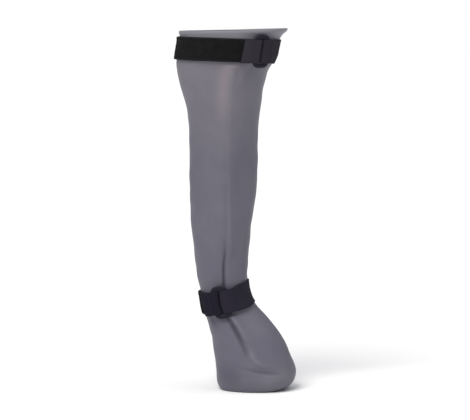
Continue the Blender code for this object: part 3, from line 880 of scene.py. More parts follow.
def webbing_material(colours):
    """Charcoal webbing: woven ribs and columns, a dull face and a little lint, with painted shade between
    the threads and painted light and shade in the colours of the two straps.
    """
    webbing = Surface("webbing")
    weave = webbing.effect("WebbingWeave", webbing.strap_map(), Rib=0.95, Column=1.3)
    # painted light and shade: the lower strap is painted darker than the upper one; the folded ends show
    # the back colours, the upper one painted lighter where light catches it
    upper = webbing.remap(webbing.split(webbing.place)[2], *UPPER_FROM)
    face = webbing.blend(upper, colours.lower_face, colours.upper_face)
    back = webbing.blend(upper, colours.lower_back, colours.upper_back)
    colour = webbing.blend(webbing.attribute("reverse"), face, back)
    # crowns of the threads lighter, grooves darker: the yarn's own pattern, with painted shade in the
    # grooves
    shade = webbing.blend(weave["Thread"], (0.68, 0.68, 0.68), (1.25, 1.25, 1.25))
    colour = webbing.blend(1.0, colour, shade, "MULTIPLY")
    return webbing.finish(
        {
            "Base Color": webbing.speckle(colour, 0.4, (0.16, 0.16, 0.18), Scale=700.0, Amount=0.6),
            "Roughness": webbing.remap(weave["Thread"], 0.0, 1.0, 0.95, 0.8),
            "Normal": webbing.bump(weave["Height"], 0.0005, 0.7),
            "Specular IOR Level": 0.10,
        }
    )


def pile_material(colours):
    """Near-black looped pile."""
    pile = Surface("loop_tape")
    grain = pile.effect("FineGrain", pile.place, Grain=1500.0, Slow=120.0)
    colour = pile.blend(pile.remap(grain["Cloud"], 0.3, 0.7), colours.pile, (0.0098, 0.0098, 0.0110))
    return pile.finish(
        {
            "Base Color": pile.speckle(colour, 0.6, (0.16, 0.16, 0.17), Scale=500.0, Amount=0.8),
            "Roughness": pile.remap(grain["Height"], 0.3, 0.7, 0.85, 1.0),
            "Normal": pile.bump(grain["Height"], 0.0006, 0.8),
            "Specular IOR Level": 0.2,
            "Sheen Weight": 0.05,
        }
    )


def hook_material(colours):
    """Black hook tape: rows of small stiff hooks."""
    hooks = Surface("hook_tape")
    inputs = {"Vector": hooks.strap_map(), "Scale": 0.9, "Randomness": 0.15}
    tip = hooks.remap(hooks.put("ShaderNodeTexVoronoi", inputs).outputs["Distance"], 0.35, 0.1)
    return hooks.finish(
        {
            "Base Color": hooks.blend(tip, colours.hooks, (0.03, 0.03, 0.034)),
            "Roughness": hooks.remap(tip, 0.0, 1.0, 0.7, 0.4),
            "Normal": hooks.bump(tip, 0.0006, 0.8),
        }
    )


def ring_material(colours):
    """Blue-black moulded plastic with a satin skin and a painted highlight in patches along its edges."""
    ring = Surface("ring_plastic")
    grain = ring.effect("FineGrain", ring.place, Grain=3200.0, Slow=240.0)
    # a painted highlight in patches along the bars' rounded edges, in the pale colour below
    painted_glint = ring.remap(grain["Cloud"], 0.35, 0.65)
    edge_glint = ring.math("MULTIPLY", ring.attribute("edge"), painted_glint, clamp=True)
    pale = (0.050, 0.047, 0.072)
    return ring.finish(
        {
            "Base Color": ring.blend(ring.math("MULTIPLY", edge_glint, 0.35), colours.ring, pale),
            "Roughness": ring.remap(grain["Cloud"], 0.3, 0.7, 0.42, 0.56),
            "Normal": ring.bump(grain["Height"], 0.0001, 0.15),
            "Specular IOR Level": 0.16,
        }
    )


def thread_material(colours):
    """Twisted polyester thread."""
    thread = Surface("thread")
    grain = thread.effect("FineGrain", thread.place, Grain=2600.0, Slow=300.0)
    twist = thread.remap(grain["Height"], 0.3, 0.7)
    colour = thread.blend(twist, colours.thread, (0.023, 0.022, 0.030))
    return thread.finish({"Base Color": colour, "Roughness": 0.75, "Specular IOR Level": 0.25})


def floor_material(colours):
    """Pale matt studio floor."""
    floor = Surface("studio_floor")
    grain = floor.effect("FineGrain", floor.place, Grain=90.0, Slow=1.2)
    colour = floor.blend(grain["Cloud"], colours.floor, (0.94, 0.94, 0.945))
    return floor.finish({"Base Color": colour, "Roughness": 0.9, "Specular IOR Level": 0.1})


# ------------------------------------------------------------------ geometry nodes


def geometry_group(name, numbers, seed=None):
    """A geometry tree with named numbers that turns one geometry into another, and its
    inputs."""
    geometry = ("Geometry", "Geometry", None)
    inputs = [geometry] + [(title, "Float", value) for title, value in numbers.items()]
    if seed is not None:
        inputs.append(("Seed", "Int", seed))
    return new_group(name, "GeometryNodeTree", inputs, [geometry])


def round_thread(net, curve, sides, radius):
    """A thread of this radius along a curve, with closed ends."""
    profile = net.put("GeometryNodeCurvePrimitiveCircle", {"Resolution": sides, "Radius": radius})
    inputs = {"Curve": curve, "Profile Curve": profile.outputs[0], "Fill Caps": True}
    return net.put("GeometryNodeCurveToMesh", inputs).outputs[0]


def lay_out(net, material, inputs):
    """Puts an instance on each point, makes them real, paints them and ends the tree."""
    placed = net.put("GeometryNodeInstanceOnPoints", inputs).outputs[0]
    real = net.put("GeometryNodeRealizeInstances", {"Geometry": placed}).outputs[0]
    painted = net.put("GeometryNodeSetMaterial", {"Geometry": real, "Material": material})
    net.put("NodeGroupOutput", {"Geometry": painted.outputs[0]})
    return net.tree


def stitch_tree(thread):
    """Stitches on points that carry the directions "along" and "out"."""
    sizes = {"Stitch Length": 0.0022, "Thread Radius": 0.00026}
    net, (points, length, radius) = geometry_group("Stitches", sizes)
    half = net.math("MULTIPLY", length, 0.5)
    less = net.math("MULTIPLY", half, -1.0)
    sunk = net.math("MULTIPLY", radius, -1.2)
    crown = net.math("MULTIPLY", radius, 1.3)
    inputs = {
        "Resolution": 6,
        "Start": net.vector(x=less, z=sunk),
        "Middle": net.vector(z=crown),
        "End": net.vector(x=half, z=sunk),
    }
    arc = net.put("GeometryNodeCurveQuadraticBezier", inputs).outputs[0]
    along, out = (
        net.put("GeometryNodeInputNamedAttribute", {"Name": name}, data_type="FLOAT_VECTOR").outputs[0]
        for name in ("along", "out")
    )
    align = "FunctionNodeAlignRotationToVector"
    turned = net.put(align, {"Vector": along}, axis="X").outputs[0]
    turned = net.put(align, {"Rotation": turned, "Vector": out}, axis="Z", pivot_axis="X").outputs[0]
    stitch = round_thread(net, arc, 6, radius)
    return lay_out(net, thread, {"Points": points, "Instance": stitch, "Rotation": turned})


def pile_tree(yarn):
    """Small closed loops of yarn scattered over a tape's face."""
    sizes = {"Loop Height": 0.0011, "Loop Width": 0.0012, "Yarn Radius": 0.00011, "Density": 1150000.0}
    net, (face, height, width, radius, density, seed) = geometry_group("LoopedPile", sizes, seed=7)
    half = net.math("MULTIPLY", width, 0.5)
    less = net.math("MULTIPLY", half, -1.0)
    top = net.math("MULTIPLY", height, 1.35)
    root = net.math("MULTIPLY", height, -0.15)
    inputs = {
        "Resolution": 5,
        "Start": net.vector(x=less, z=root),
        "Start Handle": net.vector(x=less, z=top),
        "End Handle": net.vector(x=half, z=top),
        "End": net.vector(x=half, z=root),
    }
    arc = net.put("GeometryNodeCurvePrimitiveBezierSegment", inputs).outputs[0]
    inputs = {"Mesh": face, "Density": density, "Seed": seed}
    scatter = net.put("GeometryNodeDistributePointsOnFaces", inputs, distribute_method="RANDOM")
    # each loop leans by up to half a radian, is spun any way, and has its own size
    inputs = {0: (-0.5, -0.5, -3.14), 1: (0.5, 0.5, 3.14), "Seed": seed}
    spin = net.put("FunctionNodeRandomValue", inputs, data_type="FLOAT_VECTOR").outputs[0]
    inputs = {2: 0.7, 3: 1.25, "Seed": seed}
    size = net.put("FunctionNodeRandomValue", inputs, data_type="FLOAT").outputs[1]
    inputs = {0: scatter.outputs["Rotation"], 1: spin}
    turned = net.put("FunctionNodeRotateRotation", inputs, rotation_space="LOCAL").outputs[0]
    inputs = {
        "Points": scatter.outputs["Points"],
        "Instance": round_thread(net, arc, 3, radius),
        "Rotation": turned,
        "Scale": size,
    }
    return lay_out(net, yarn, inputs)


def run_tree(item, tree, name, values):
    """Runs a geometry tree on an object, which the result replaces as a plain mesh."""
    modifier = item.modifiers.new("making", "NODES")
    modifier.node_group = tree
    for socket in tree.interface.items_tree:
        if socket.in_out == "INPUT" and socket.name in values:
            modifier[socket.identifier] = values[socket.name]
    bpy.context.view_layer.update()
    graph = bpy.context.evaluated_depsgraph_get()
    data = bpy.data.meshes.new_from_object(item.evaluated_get(graph), depsgraph=graph)
    item.modifiers.remove(modifier)
    bpy.data.objects.remove(item, do_unlink=True)
    data.name = name
    data.shade_smooth()
    return new_object(name, data)


# ------------------------------------------------------------------ the skin

# Rows lie closer below BEND_HEIGHT, over the foot and the ankle, by this share.
BEND_HEIGHT = 150.0
BEND_SHARE = 0.75
# The collar has a rolled lip, LIP high and LIP_BELOW under the edge, and thickens by
# EDGE_SWELL at the edge itself. EDGE_STEPS facets turn the edge over.
LIP = 0.55
LIP_BELOW = 1.6
LIP_SPREAD = 1.3
EDGE_SWELL = 0.5
EDGE_SPREAD = 3.0
EDGE_STEPS = 7
# The inner face keeps every third row of the outer one for this many rows at the collar.
INNER_FINE_ROWS = 12
# Both soles close in rings towards their middles, of these sizes.
SOLE_RINGS = (0.25, 0.5, 0.75)


def row_places(step):
    """Distances along the wall for the skin's rows, from the sole to the collar."""
    bend = float(np.interp(BEND_HEIGHT, GRID_HEIGHTS, GRID_WAYS))
    low = np.linspace(0.0, bend, round(bend / (step * BEND_SHARE)) + 1)
    high = np.linspace(bend, LENGTH, round((LENGTH - bend) / step) + 1)
    return np.concatenate([low, high[1:]])


def shrunk(ring, share):
    """A ring drawn in towards its middle."""
    middle = ring.mean(axis=0)
    return middle + (ring - middle) * share


def skin_rings(ways, grid, inner_rows):
    """Rings of the closed skin, from the outer face's rows: the lower sole, the outer face
    with its lip, the collar's edge, the inner face and the upper sole."""
    around = np.roll(grid, -1, axis=1) - np.roll(grid, 1, axis=1)
    normals = unit(np.cross(around, np.gradient(grid, axis=0)))
    normals[0] = (0.0, 0.0, -1.0)
    run = LENGTH - ways
    lip = LIP * np.exp(-(((run - LIP_BELOW) / LIP_SPREAD) ** 2))
    grid = grid + normals * lip[:, None, None]
    swell = EDGE_SWELL * np.exp(-((run / EDGE_SPREAD) ** 2))
    thick = (wall_at(grid[..., 2]) + swell[:, None])[..., None]
    # inner rows are fewer, since only the collar is seen from above
    last = len(ways) - 1
    fine = range(0, INNER_FINE_ROWS, 3)
    coarse = np.linspace(INNER_FINE_ROWS, last, inner_rows)
    kept = sorted({last - round(i) for i in (*fine, *coarse)})
    inner = grid[kept] - normals[kept] * thick[kept]
    # the edge, half a round from the outer face to the inner one
    ahead = unit(grid[-1] - grid[-2])
    radius = thick[-1] / 2
    edge = [
        grid[-1] - normals[-1] * radius + (normals[-1] * math.cos(a) + ahead * math.sin(a)) * radius
        for a in np.linspace(0, math.pi, EDGE_STEPS + 1)[1:-1]
    ]
    below = [shrunk(grid[0], share) for share in SOLE_RINGS]
    above = [shrunk(inner[0], share) for share in SOLE_RINGS[::-1]]
    return np.array([*below, *grid, *edge, *inner[::-1], *above])


def make_skin(sizes, material):
    """The sock in one closed skin, with attributes for its folds, its painted highlights and its patches of
    painted light and shade.
    """
    columns = sizes.facets_around
    ways = row_places(sizes.row_step / MM)
    turns = np.linspace(0.0, FULL_TURN, columns, endpoint=False)
    way, turn = (a.ravel() for a in np.meshgrid(ways, turns, indexing="ij"))
    relief = skin_relief(way, turn, sizes.fold_strength)
    face = outer_points(way, turn) + outer_normals(way, turn) * relief[:, None]
    rings = skin_rings(ways, face.reshape(len(ways), columns, 3), sizes.inner_rows)
    faces = capped_faces(len(rings), columns)
    made = mesh_object("sock_skin", to_frame(rings.reshape(-1, 3)), faces, material)
    first = len(SOLE_RINGS) * columns
    for title, rows in (("relief", FOLDS), ("thin", PAINTED_HIGHLIGHTS), ("tone", PAINTED_LIGHT_PLACES)):
        shown = np.zeros(len(rings) * columns)
        shown[first : first + len(way)] = added_heights(rows, way, turn)
        add_attribute(made.data, title, shown)
    return made


# ------------------------------------------------------------------ webbing and tapes

# The folded end's tip lifts off: distance from the end, and lift.
END_LIFT = ((0.0, 0.45), (2.5, 0.12), (5.0, 0.0))
# The sewn plies lie PLY_GAP apart, and the lower one is PLY_SHORT shorter. Towards the
# ring they rise, up to EYE_RISE in front of its slot. A fold has a point at every
# FOLD_STEP degrees.
PLY_GAP = 0.05
EYE_RISE = 6.0
PLY_SHORT = 0.4
FOLD_STEP = 10
# The woven face: facets across it, how far apart its columns are, how high they stand and
# how round they are, with 1 for a sine.
WEAVE_FACETS = 49
WEAVE_COLUMN = 2.6
WEAVE_RELIEF = 0.10
WEAVE_ROUND = 0.6
# The webbing's edges, beyond EDGE_PART of its half width, wave by EDGE_WAVE of it, at
# this many radians per mm along the strap.
EDGE_WAVE = 0.004
EDGE_WAVE_TURN = 0.9
EDGE_PART = 0.9
# Edges of webbing and tape are sharp from this angle in degrees.
SHARP_ANGLE = 40
# Tapes are TAPE_INSET narrower than the webbing, with corners of this radius, and start
# TAPE_CLEAR behind the ring. The hook tape stops HOOK_SHORT inside the folded end, and
# BACKING is the loop tape's thickness under its pile.
TAPE_INSET = 0.6
TAPE_CORNER = 0.35
TAPE_CLEAR = 1.6
HOOK_SHORT = 0.8
BACKING = TAPE * 0.45
# The pile grows from a plain sheet, PILE_SUNK under the backing's face and PILE_INSET
# inside its ends, with this many points along it and across it.
PILE_SUNK = 0.05
PILE_INSET = 0.3
PILE_GRID = (90, 12)
PILE_SEED = 8


def resample(points, per_mm):
    """Evenly spaced points along a line of (u, h, play), and their distances along it."""
    line = np.array(points)
    run = run_along(np.hypot(*np.diff(line[:, :2], axis=0).T))
    at = np.linspace(0.0, run[-1], max(3, round(run[-1] * per_mm) + 1))
    return np.stack([np.interp(at, run, column) for column in line.T], axis=1), at


def fold_points(bar, first, last, bulge):
    """Webbing folded round a bar, as (u, h, play) points between two angles."""
    made = []
    for a in np.radians(np.arange(first, last, math.copysign(FOLD_STEP, last - first))):
        reach = (FOLD_RADIUS + bulge * abs(math.cos(a))) * math.cos(a)
        made.append((bar + reach, BAR_MID + FOLD_RADIUS * math.sin(a), math.cos(a) ** 2))
    return made


def ramp_points(from_u, to_u, from_h, to_h, steps=8):
    """A smooth step in height, as (u, h, play) points."""
    made = []
    for s in np.arange(1, steps + 1) / steps:
        made.append((from_u + (to_u - from_u) * s, from_h + (to_h - from_h) * smooth(s), 0.0))
    return made


def webbing_line(path, samples_per_mm):
    """The strap's run as points of its middle line, evenly spaced: u, h, and the share of
    the folds' play in the slot that the point takes."""
    band_mid = BAND_LOW + WEB / 2
    over_mid = band_mid + WEB + PLY_GAP
    fold_mid = FOLD_LOW + WEB / 2
    front = -path.length
    seam = front + SEAM_END
    rear_bulge, front_bulge = FOLD_BULGE[path.name]
    line = [
        *((way - FOLDED_END, fold_mid + lift, 0.0) for way, lift in END_LIFT),
        (-FLAT_HALF, fold_mid, 0.0),
        *fold_points(-BAR_PLACE, 90, -91, rear_bulge),
        (-FLAT_HALF, band_mid, 0.0),
        (seam + SEAM_FADE, band_mid, 0.0),
        *ramp_points(seam + SEAM_FADE, seam, band_mid, over_mid),
        (front + SEAM_START, over_mid, 0.0),
        *ramp_points(front + SEAM_START, front + SLOT_WIDTH / 2 + EYE_RISE, over_mid, fold_mid),
        *fold_points(front + BAR_PLACE, 90, 271, front_bulge),
        (seam - PLY_SHORT, band_mid, 0.0),
    ]
    return resample(line, samples_per_mm)


def slot_play(name, v):
    """How far the folds' gap lies off its mean place along the strap, at these v."""
    across = 2 * v / WEB_WIDTH
    return FOLD_SKEW[name] * across + FOLD_BOW[name] * (1 - across**2)


def arc_points(x, y, radius, degrees):
    """Points on a circle at these angles."""
    return [(x + radius * math.cos(a), y + radius * math.sin(a)) for a in np.radians(degrees)]


def webbing_section():
    """Closed section of webbing as (v, t) points: woven face, round selvedges, back."""
    r = WEB / 2
    half = WEB_WIDTH / 2 - r
    v = np.linspace(-half, half, WEAVE_FACETS)
    columns = np.abs(np.sin(math.pi * v / WEAVE_COLUMN)) ** WEAVE_ROUND
    face = [*zip(v, r + WEAVE_RELIEF * (columns - 0.5))]
    back = [(a, -r) for a in np.linspace(half, -half, 9)]
    right = arc_points(half, 0.0, r, (60, 30, 0, -30, -60))
    left = arc_points(-half, 0.0, r, (240, 210, 180, 150, 120))
    return np.array([*face, *right, *back, *left])


def tape_section(thick):
    """Closed section of tape as (v, t) points, with more of them over its face."""
    r = min(TAPE_CORNER, thick / 3)
    half, up = (WEB_WIDTH - TAPE_INSET) / 2 - r, thick / 2 - r
    made = []
    for x, y, first in ((half, up, 0), (-half, up, 90), (-half, -up, 180), (half, -up, 270)):
        made += arc_points(x, y, r, (first, first + 45, first + 90))
        if first == 0:
            made += [(a, thick / 2) for a in np.linspace(half, -half, 14)[1:-1]]
    return np.array(made)


def sweep_band(name, path, line, run, section, material, edge_wave=0.0):
    """Sweeps a section along a line of (u, h, play), bent round the sock."""
    v, t = section.T
    u, h, play = (column[:, None] for column in line.T)
    rise, along = np.gradient(h, axis=0), np.gradient(u, axis=0)
    length = np.hypot(rise, along)
    # outward in the (u, h) plane: to the left of a line that runs towards the toe
    u = u + rise / length * t + play * slot_play(path.name, v)
    h = h - along / length * t
    selvedge = np.sign(v) * (np.abs(v) > v.max() * EDGE_PART)
    v = v * (1.0 + edge_wave * np.sin(run * EDGE_WAVE_TURN)[:, None] * selvedge)
    points = path.place(u.ravel(), v.ravel(), h.ravel())
    faces = capped_faces(*u.shape)
    made = mesh_object(name, to_frame(points), faces, material, SHARP_ANGLE)
    face_out(made.data)
    add_uv(made.data, "strap", np.stack([np.repeat(run, len(t)), v.ravel()], axis=1))
    add_attribute(made.data, "reverse", np.tile(t < 0, len(run)))
    return made


def make_webbing(name, sizes, material):
    """One strap from its folded end, round the leg, to the end of its sewn eye."""
    path = PATHS[name]
    line, run = webbing_line(path, sizes.strap_samples)
    return sweep_band(name + "_webbing", path, line, run, webbing_section(), material, EDGE_WAVE)


def make_tape(name, path, end, low, thick, material):
    """Tape from behind the ring to this end, on top of this height."""
    start, middle = -RING_WIDTH / 2 - TAPE_CLEAR, low + thick / 2
    line, run = resample([(start, middle, 0.0), (end, middle, 0.0)], 1.0)
    return sweep_band(name, path, line, run, tape_section(thick), material)


def make_pile(name, sizes, material):
    """Looped pile over the whole face of a loop tape's backing."""
    path = PATHS[name]
    start, end = -RING_WIDTH / 2 - TAPE_CLEAR, -path.tape
    half = WEB_WIDTH / 2 - TAPE_INSET
    u = np.linspace(start - PILE_INSET, end + PILE_INSET, PILE_GRID[0])
    v = np.linspace(-half, half, PILE_GRID[1])
    u, v = (a.ravel() for a in np.meshgrid(u, v, indexing="ij"))
    points = path.place(u, v, TAPE_LOW + BACKING - PILE_SUNK)
    faces = grid_faces(*PILE_GRID, closed_across=False)
    ground = mesh_object(name + "_pile_ground", to_frame(points), faces, material)
    face_from_axis(ground.data)
    values = {"Loop Height": sizes.pile_height, "Seed": PILE_SEED}
    return run_tree(ground, pile_tree(material), name + "_pile", values)


def face_from_axis(data):
    """Turns an open sheet's faces away from the ankle's axis."""
    sample = data.polygons[len(data.polygons) // 2]
    outward = sample.center - Vector(ORIGIN * MM)
    if sample.normal.xy.dot(outward.xy) < 0:
        data.flip_normals()


# ------------------------------------------------------------------ rings and stitches

# Facets of a ring's corners, of its upright sides and of its level ones.
CORNER_FACETS = 14
SIDE_FACETS = (10, 6)
# The bars' round section runs this many degrees to both sides of its crown, in facets. A
# parting line stands out at the crown; the last two sizes place a painted highlight on the
# bars' rounded edges, its angle from the crown and its spread.
BAR_TURN = 85
BAR_FACETS = 12
PARTING = 0.05
PARTING_SPREAD = 8.0
GLINT_AT = 50
GLINT_SPREAD = 22.0
# Each box of stitches: how far it lies inside the band's edges, how far along the strap its
# rows begin and end from the start and the end of what they hold, and how far their thread's
# middle lies over the face.
EYE_SEWING = (1.6, 2.0, -2.6, 0.12)
END_SEWING = (1.8, 2.0, -2.2, 0.04)
TAPE_SEWING = (1.3, -1.0, 1.5, 0.25)
# The eye has a second row across it, this far from the first.
EYE_SECOND_ROW = 2.6
# A stitch takes this share of its pitch.
STITCH_SHARE = 0.78


def between(a, b, count):
    """Points that split the line from a to b into this many steps."""
    return [(a[0] + (b[0] - a[0]) * i / count, a[1] + (b[1] - a[1]) * i / count) for i in range(1, count)]


def rounded_box(width, height, corner):
    """Points round a rectangle with round corners, the same count for any size."""
    x, y = width / 2 - corner, height / 2 - corner
    points = []
    for k, (cx, cy) in enumerate(((x, y), (-x, y), (-x, -y), (x, -y))):
        arc = arc_points(cx, cy, corner, 90 * k + np.linspace(0, 90, CORNER_FACETS + 1))
        if points:
            points += between(points[-1], arc[0], SIDE_FACETS[k % 2])
        points += arc
    return np.array(points + between(points[-1], points[0], SIDE_FACETS[0]))


def make_ring(name, material):
    """A flat moulded ring: rounded bars, a slot, and a faint parting line round its edge."""
    outer = rounded_box(RING_WIDTH, RING_HEIGHT, RING_CORNER)
    inner = rounded_box(SLOT_WIDTH, SLOT_HEIGHT, SLOT_CORNER)
    bar = np.linalg.norm(outer - inner, axis=1)[:, None]
    side = np.repeat((1, -1), BAR_FACETS + 1)
    degrees = np.tile(np.linspace(-BAR_TURN, BAR_TURN, BAR_FACETS + 1), 2)
    parting = PARTING * np.exp(-((degrees / PARTING_SPREAD) ** 2))
    r = RING_THICK / 2
    inset = (r * (1 - np.cos(np.radians(degrees))) - parting) / bar
    share = np.where(side < 0, inset, 1 - inset)[..., None]
    points = inner[:, None] + (outer - inner)[:, None] * share
    rise = np.broadcast_to(side * r * np.sin(np.radians(degrees)), inset.shape)
    placed = PATHS[name].flat(points[..., 0], points[..., 1], BAR_MID + rise)
    faces = grid_faces(len(outer), len(side), closed_along=True)
    made = mesh_object(name + "_moulded_ring", to_frame(placed).reshape(-1, 3), faces, material)
    face_out(made.data)
    # where the painted highlight lies on the bars' rounded edges
    painted_glint = np.exp(-(((np.abs(degrees) - GLINT_AT) / GLINT_SPREAD) ** 2))
    add_attribute(made.data, "edge", np.tile(painted_glint, len(outer)))
    return made


def sewn_box(start, end, top, sewing, second_row=None, open_start=False):
    """Rows of stitches round a box, as (u, v) ends and the height they are sewn at."""
    inset, from_start, from_end, over = sewing
    half, height = WEB_WIDTH / 2 - inset, top + over
    start, end = start + from_start, end + from_end
    across = [end] if open_start else [start, end]
    if second_row:
        across.append(start + second_row)
    return [((u, -half), (u, half), height) for u in across] + [
        ((start, v), (end, v), height) for v in (-half, half)
    ]


def stitch_rows(path):
    """The sewn eye, the folded end with its hook tape, and the loop tape's open stretch."""
    eye = (SEAM_START - path.length, SEAM_END - path.length, BAND_LOW + 2 * WEB)
    end = (-FOLDED_END, -RING_WIDTH / 2, FOLD_LOW + WEB)
    tape = (-FOLDED_END, -path.tape, TAPE_LOW + BACKING)
    return [
        *sewn_box(*eye, EYE_SEWING, second_row=EYE_SECOND_ROW),
        *sewn_box(*end, END_SEWING),
        *sewn_box(*tape, TAPE_SEWING, open_start=True),
    ]


def make_stitches(name, sizes, thread):
    """All the stitches of one strap, spread evenly over each row."""
    path = PATHS[name]
    places, along = [], []
    for (u0, v0), (u1, v1), h in stitch_rows(path):
        length = math.hypot(u1 - u0, v1 - v0)
        count = max(2, int(length * MM / sizes.stitch_pitch))
        for s in (np.arange(count) + 0.5) / count:
            places.append((u0 + (u1 - u0) * s, v0 + (v1 - v0) * s, h))
            along.append(((u1 - u0) / length, (v1 - v0) / length))
    u, v, h = np.array(places).T
    du, dv = np.array(along).T / 2
    points = path.place(u, v, h)
    data = bpy.data.meshes.new(name + "_stitch_points")
    data.from_pydata(to_frame(points).tolist(), [], [])
    add_attribute(data, "along", unit(path.place(u + du, v + dv, h) - points))
    add_attribute(data, "out", path.frames(u, v)[1])
    values = {"Stitch Length": sizes.stitch_pitch * STITCH_SHARE}
    return run_tree(new_object(data.name, data), stitch_tree(thread), name + "_stitches", values)


# ------------------------------------------------------------------ settings


DISTANCE = {"subtype": "DISTANCE", "unit": "LENGTH"}
ANGLE = {"subtype": "ANGLE", "unit": "ROTATION"}
# How many decimals of a metre the small sizes show.
FINE = 5


def colour_setting(name, description, default):
    """A colour that the user can change, in linear light."""
    return FloatVectorProperty(
        name=name, description=description, default=default, subtype="COLOR", size=3, min=0.0, max=1.0
    )


class DogSockColours(bpy.types.PropertyGroup):
    """Colours of the sock and its straps."""

    silicone: colour_setting("Silicone", "The skin over most of the sock", (0.115, 0.111, 0.142))
    # pale also carries the painted highlight on the folds' crests
    pale: colour_setting("Pale Silicone", "The skin high up the shaft and on crests", (0.195, 0.183, 0.200))
    # cool is also the colour of the patches of painted light
    cool: colour_setting("Cool Silicone", "The rim and the paler patches", (0.200, 0.197, 0.223))
    # the colour of the painted highlights
    thin: colour_setting("Thin Silicone", "Skin that is stretched and lit through", (0.278, 0.229, 0.239))
    # the colour of the painted shade in creases and in the darker patches
    painted_shade: colour_setting("Deep Silicone", "The skin inside creases", (0.050, 0.047, 0.068))
    # the webbing colours paint light and shade: the lower strap darker than the upper, and the upper folded
    # end lighter where light catches it
    upper_face: colour_setting("Upper Webbing", "Face of the upper strap", (0.0258, 0.0228, 0.0308))
    upper_back: colour_setting("Upper Webbing Back", "Back of the upper strap", (0.0315, 0.0282, 0.0374))
    lower_face: colour_setting("Lower Webbing", "Face of the lower strap", (0.0200, 0.0178, 0.0292))
    lower_back: colour_setting("Lower Webbing Back", "Back of the lower strap", (0.0129, 0.0113, 0.0206))
    pile: colour_setting("Pile", "Loops of the loop tape", (0.0050, 0.0050, 0.0058))
    hooks: colour_setting("Hooks", "The hook tape", (0.012, 0.012, 0.014))
    ring: colour_setting("Ring", "Moulded plastic of the rings", (0.0080, 0.0074, 0.0158))
    thread: colour_setting("Thread", "The stitches", (0.0115, 0.0108, 0.0160))
    floor: colour_setting("Floor", "The studio floor", (0.93, 0.93, 0.935))


class DogSockSizes(bpy.types.PropertyGroup):
    """Sizes of the sock's skin and of its straps' trimmings."""

    fold_strength: FloatProperty(
        name="Fold Strength", default=1.0, min=0.0, max=1.5, subtype="FACTOR",
        description="How far the creases stand out, as a share of their drawn depth",
    )
    facets_around: IntProperty(
        name="Facets Around", default=280, min=40, max=400,
        description="Facets of the skin round the leg",
    )
    row_step: FloatProperty(
        name="Row Step", default=0.00165, min=0.0008, max=0.01, precision=FINE, **DISTANCE,
        description="Spacing of the skin's rows up the shaft",
    )
    inner_rows: IntProperty(
        name="Inner Rows", default=44, min=12, max=120, description="Rows of the skin's inner face",
    )
    strap_samples: FloatProperty(
        name="Strap Samples", default=1.4, min=0.3, max=3.0,
        description="Facets for each millimetre along the webbing",
    )
    pile_height: FloatProperty(
        name="Pile Height", default=0.00075, min=0.0003, max=0.002, precision=FINE, **DISTANCE,
        description="Height of the loops on the loop tape",
    )
    stitch_pitch: FloatProperty(
        name="Stitch Pitch", default=0.0027, min=0.0015, max=0.005, precision=FINE, **DISTANCE,
        description="Distance from one stitch to the next",
    )


class DogSockStage(bpy.types.PropertyGroup):
    """The view and the light."""

    azimuth: FloatProperty(
        name="Azimuth", default=0.0, **ANGLE,
        description="Camera's turn round the sock, 0 looking along +Y",
    )
    elevation: FloatProperty(
        name="Elevation", default=math.radians(5.0), **ANGLE,
        description="Camera's height over the horizon",
    )
    roll: FloatProperty(
        name="Roll", default=0.0, **ANGLE,
        description="Camera's roll about its own axis",
    )
    distance: FloatProperty(
        name="Distance", default=2.6, min=0.5, **DISTANCE,
        description="From the camera to the sock's middle",
    )
    fill: FloatProperty(
        name="Fill", default=0.86, min=0.2, max=1.0, subtype="FACTOR",
        description="Share of the picture's height that the sock takes",
    )
    key: FloatProperty(
        name="Key Light", default=2.5, min=0.0,
        description="Strength of the soft light from the upper left",
    )
    fill_light: FloatProperty(
        name="Fill Light", default=0.55, min=0.0,
        description="Strength of the weak light from above and in front",
    )
    surround: FloatProperty(
        name="Surroundings", default=0.44, min=0.0,
        description="Strength of the light from all round",
    )
    backdrop: FloatProperty(
        name="Backdrop", default=1.0, min=0.0,
        description="Brightness of the surroundings as they are seen",
    )
    floor_size: FloatProperty(
        name="Floor Size", default=30.0, min=1.0, **DISTANCE, description="Side of the floor",
    )


# Each group of settings is kept with the scene under its name.
SETTINGS = {
    "dog_sock_sizes": DogSockSizes,
    "dog_sock_colours": DogSockColours,
    "dog_sock_stage": DogSockStage,
}


# ------------------------------------------------------------------ the stage

# A light's direction, spread in degrees and colour. Its strength is set under its name.
LIGHTS = {
    "key": ((-0.42, -0.78, 1.05), 34.0, (1.0, 0.98, 0.955)),
    "fill_light": ((0.55, -0.25, 1.4), 60.0, (0.98, 0.985, 1.0)),
}
# The surroundings' colour as light, and as the camera sees it.
SHINE = (0.955, 0.968, 1.0)
SEEN = (1.0, 1.0, 1.0)
WIDTH_TO_HEIGHT = 470 / 420
SENSOR_WIDTH = 36.0


def add_light(name, strength):
    """A soft distant light that shines from its direction."""
    towards, soft_degrees, colour = LIGHTS[name]
    data = bpy.data.lights.new(name, "SUN")
    data.energy = strength
    data.color = colour
    data.angle = math.radians(soft_degrees)
    made = new_object(name, data)
    made.rotation_mode = "QUATERNION"
    made.rotation_quaternion = Vector(towards).to_track_quat("Z", "Y")


def add_camera(stage):
    """The camera, turned to the middle of the sock, which fills its share of the height."""
    low, high = (Vector(corner) for corner in CAD_BOX)
    back = Vector((0.0, -math.cos(stage.elevation), math.sin(stage.elevation)))
    back.rotate(Matrix.Rotation(stage.azimuth, 3, "Z"))
    camera = bpy.data.cameras.new("camera")
    shown = (high.z - low.z) / stage.fill * WIDTH_TO_HEIGHT
    camera.sensor_width = SENSOR_WIDTH
    camera.lens = SENSOR_WIDTH * stage.distance / shown
    camera.clip_end = 100.0
    view = new_object("camera", camera)
    view.location = (low + high) / 2 + back * stage.distance
    view.rotation_mode = "QUATERNION"
    roll = Matrix.Rotation(stage.roll, 3, "Z").to_quaternion()
    view.rotation_quaternion = (-back).to_track_quat("-Z", "Y") @ roll
    return view


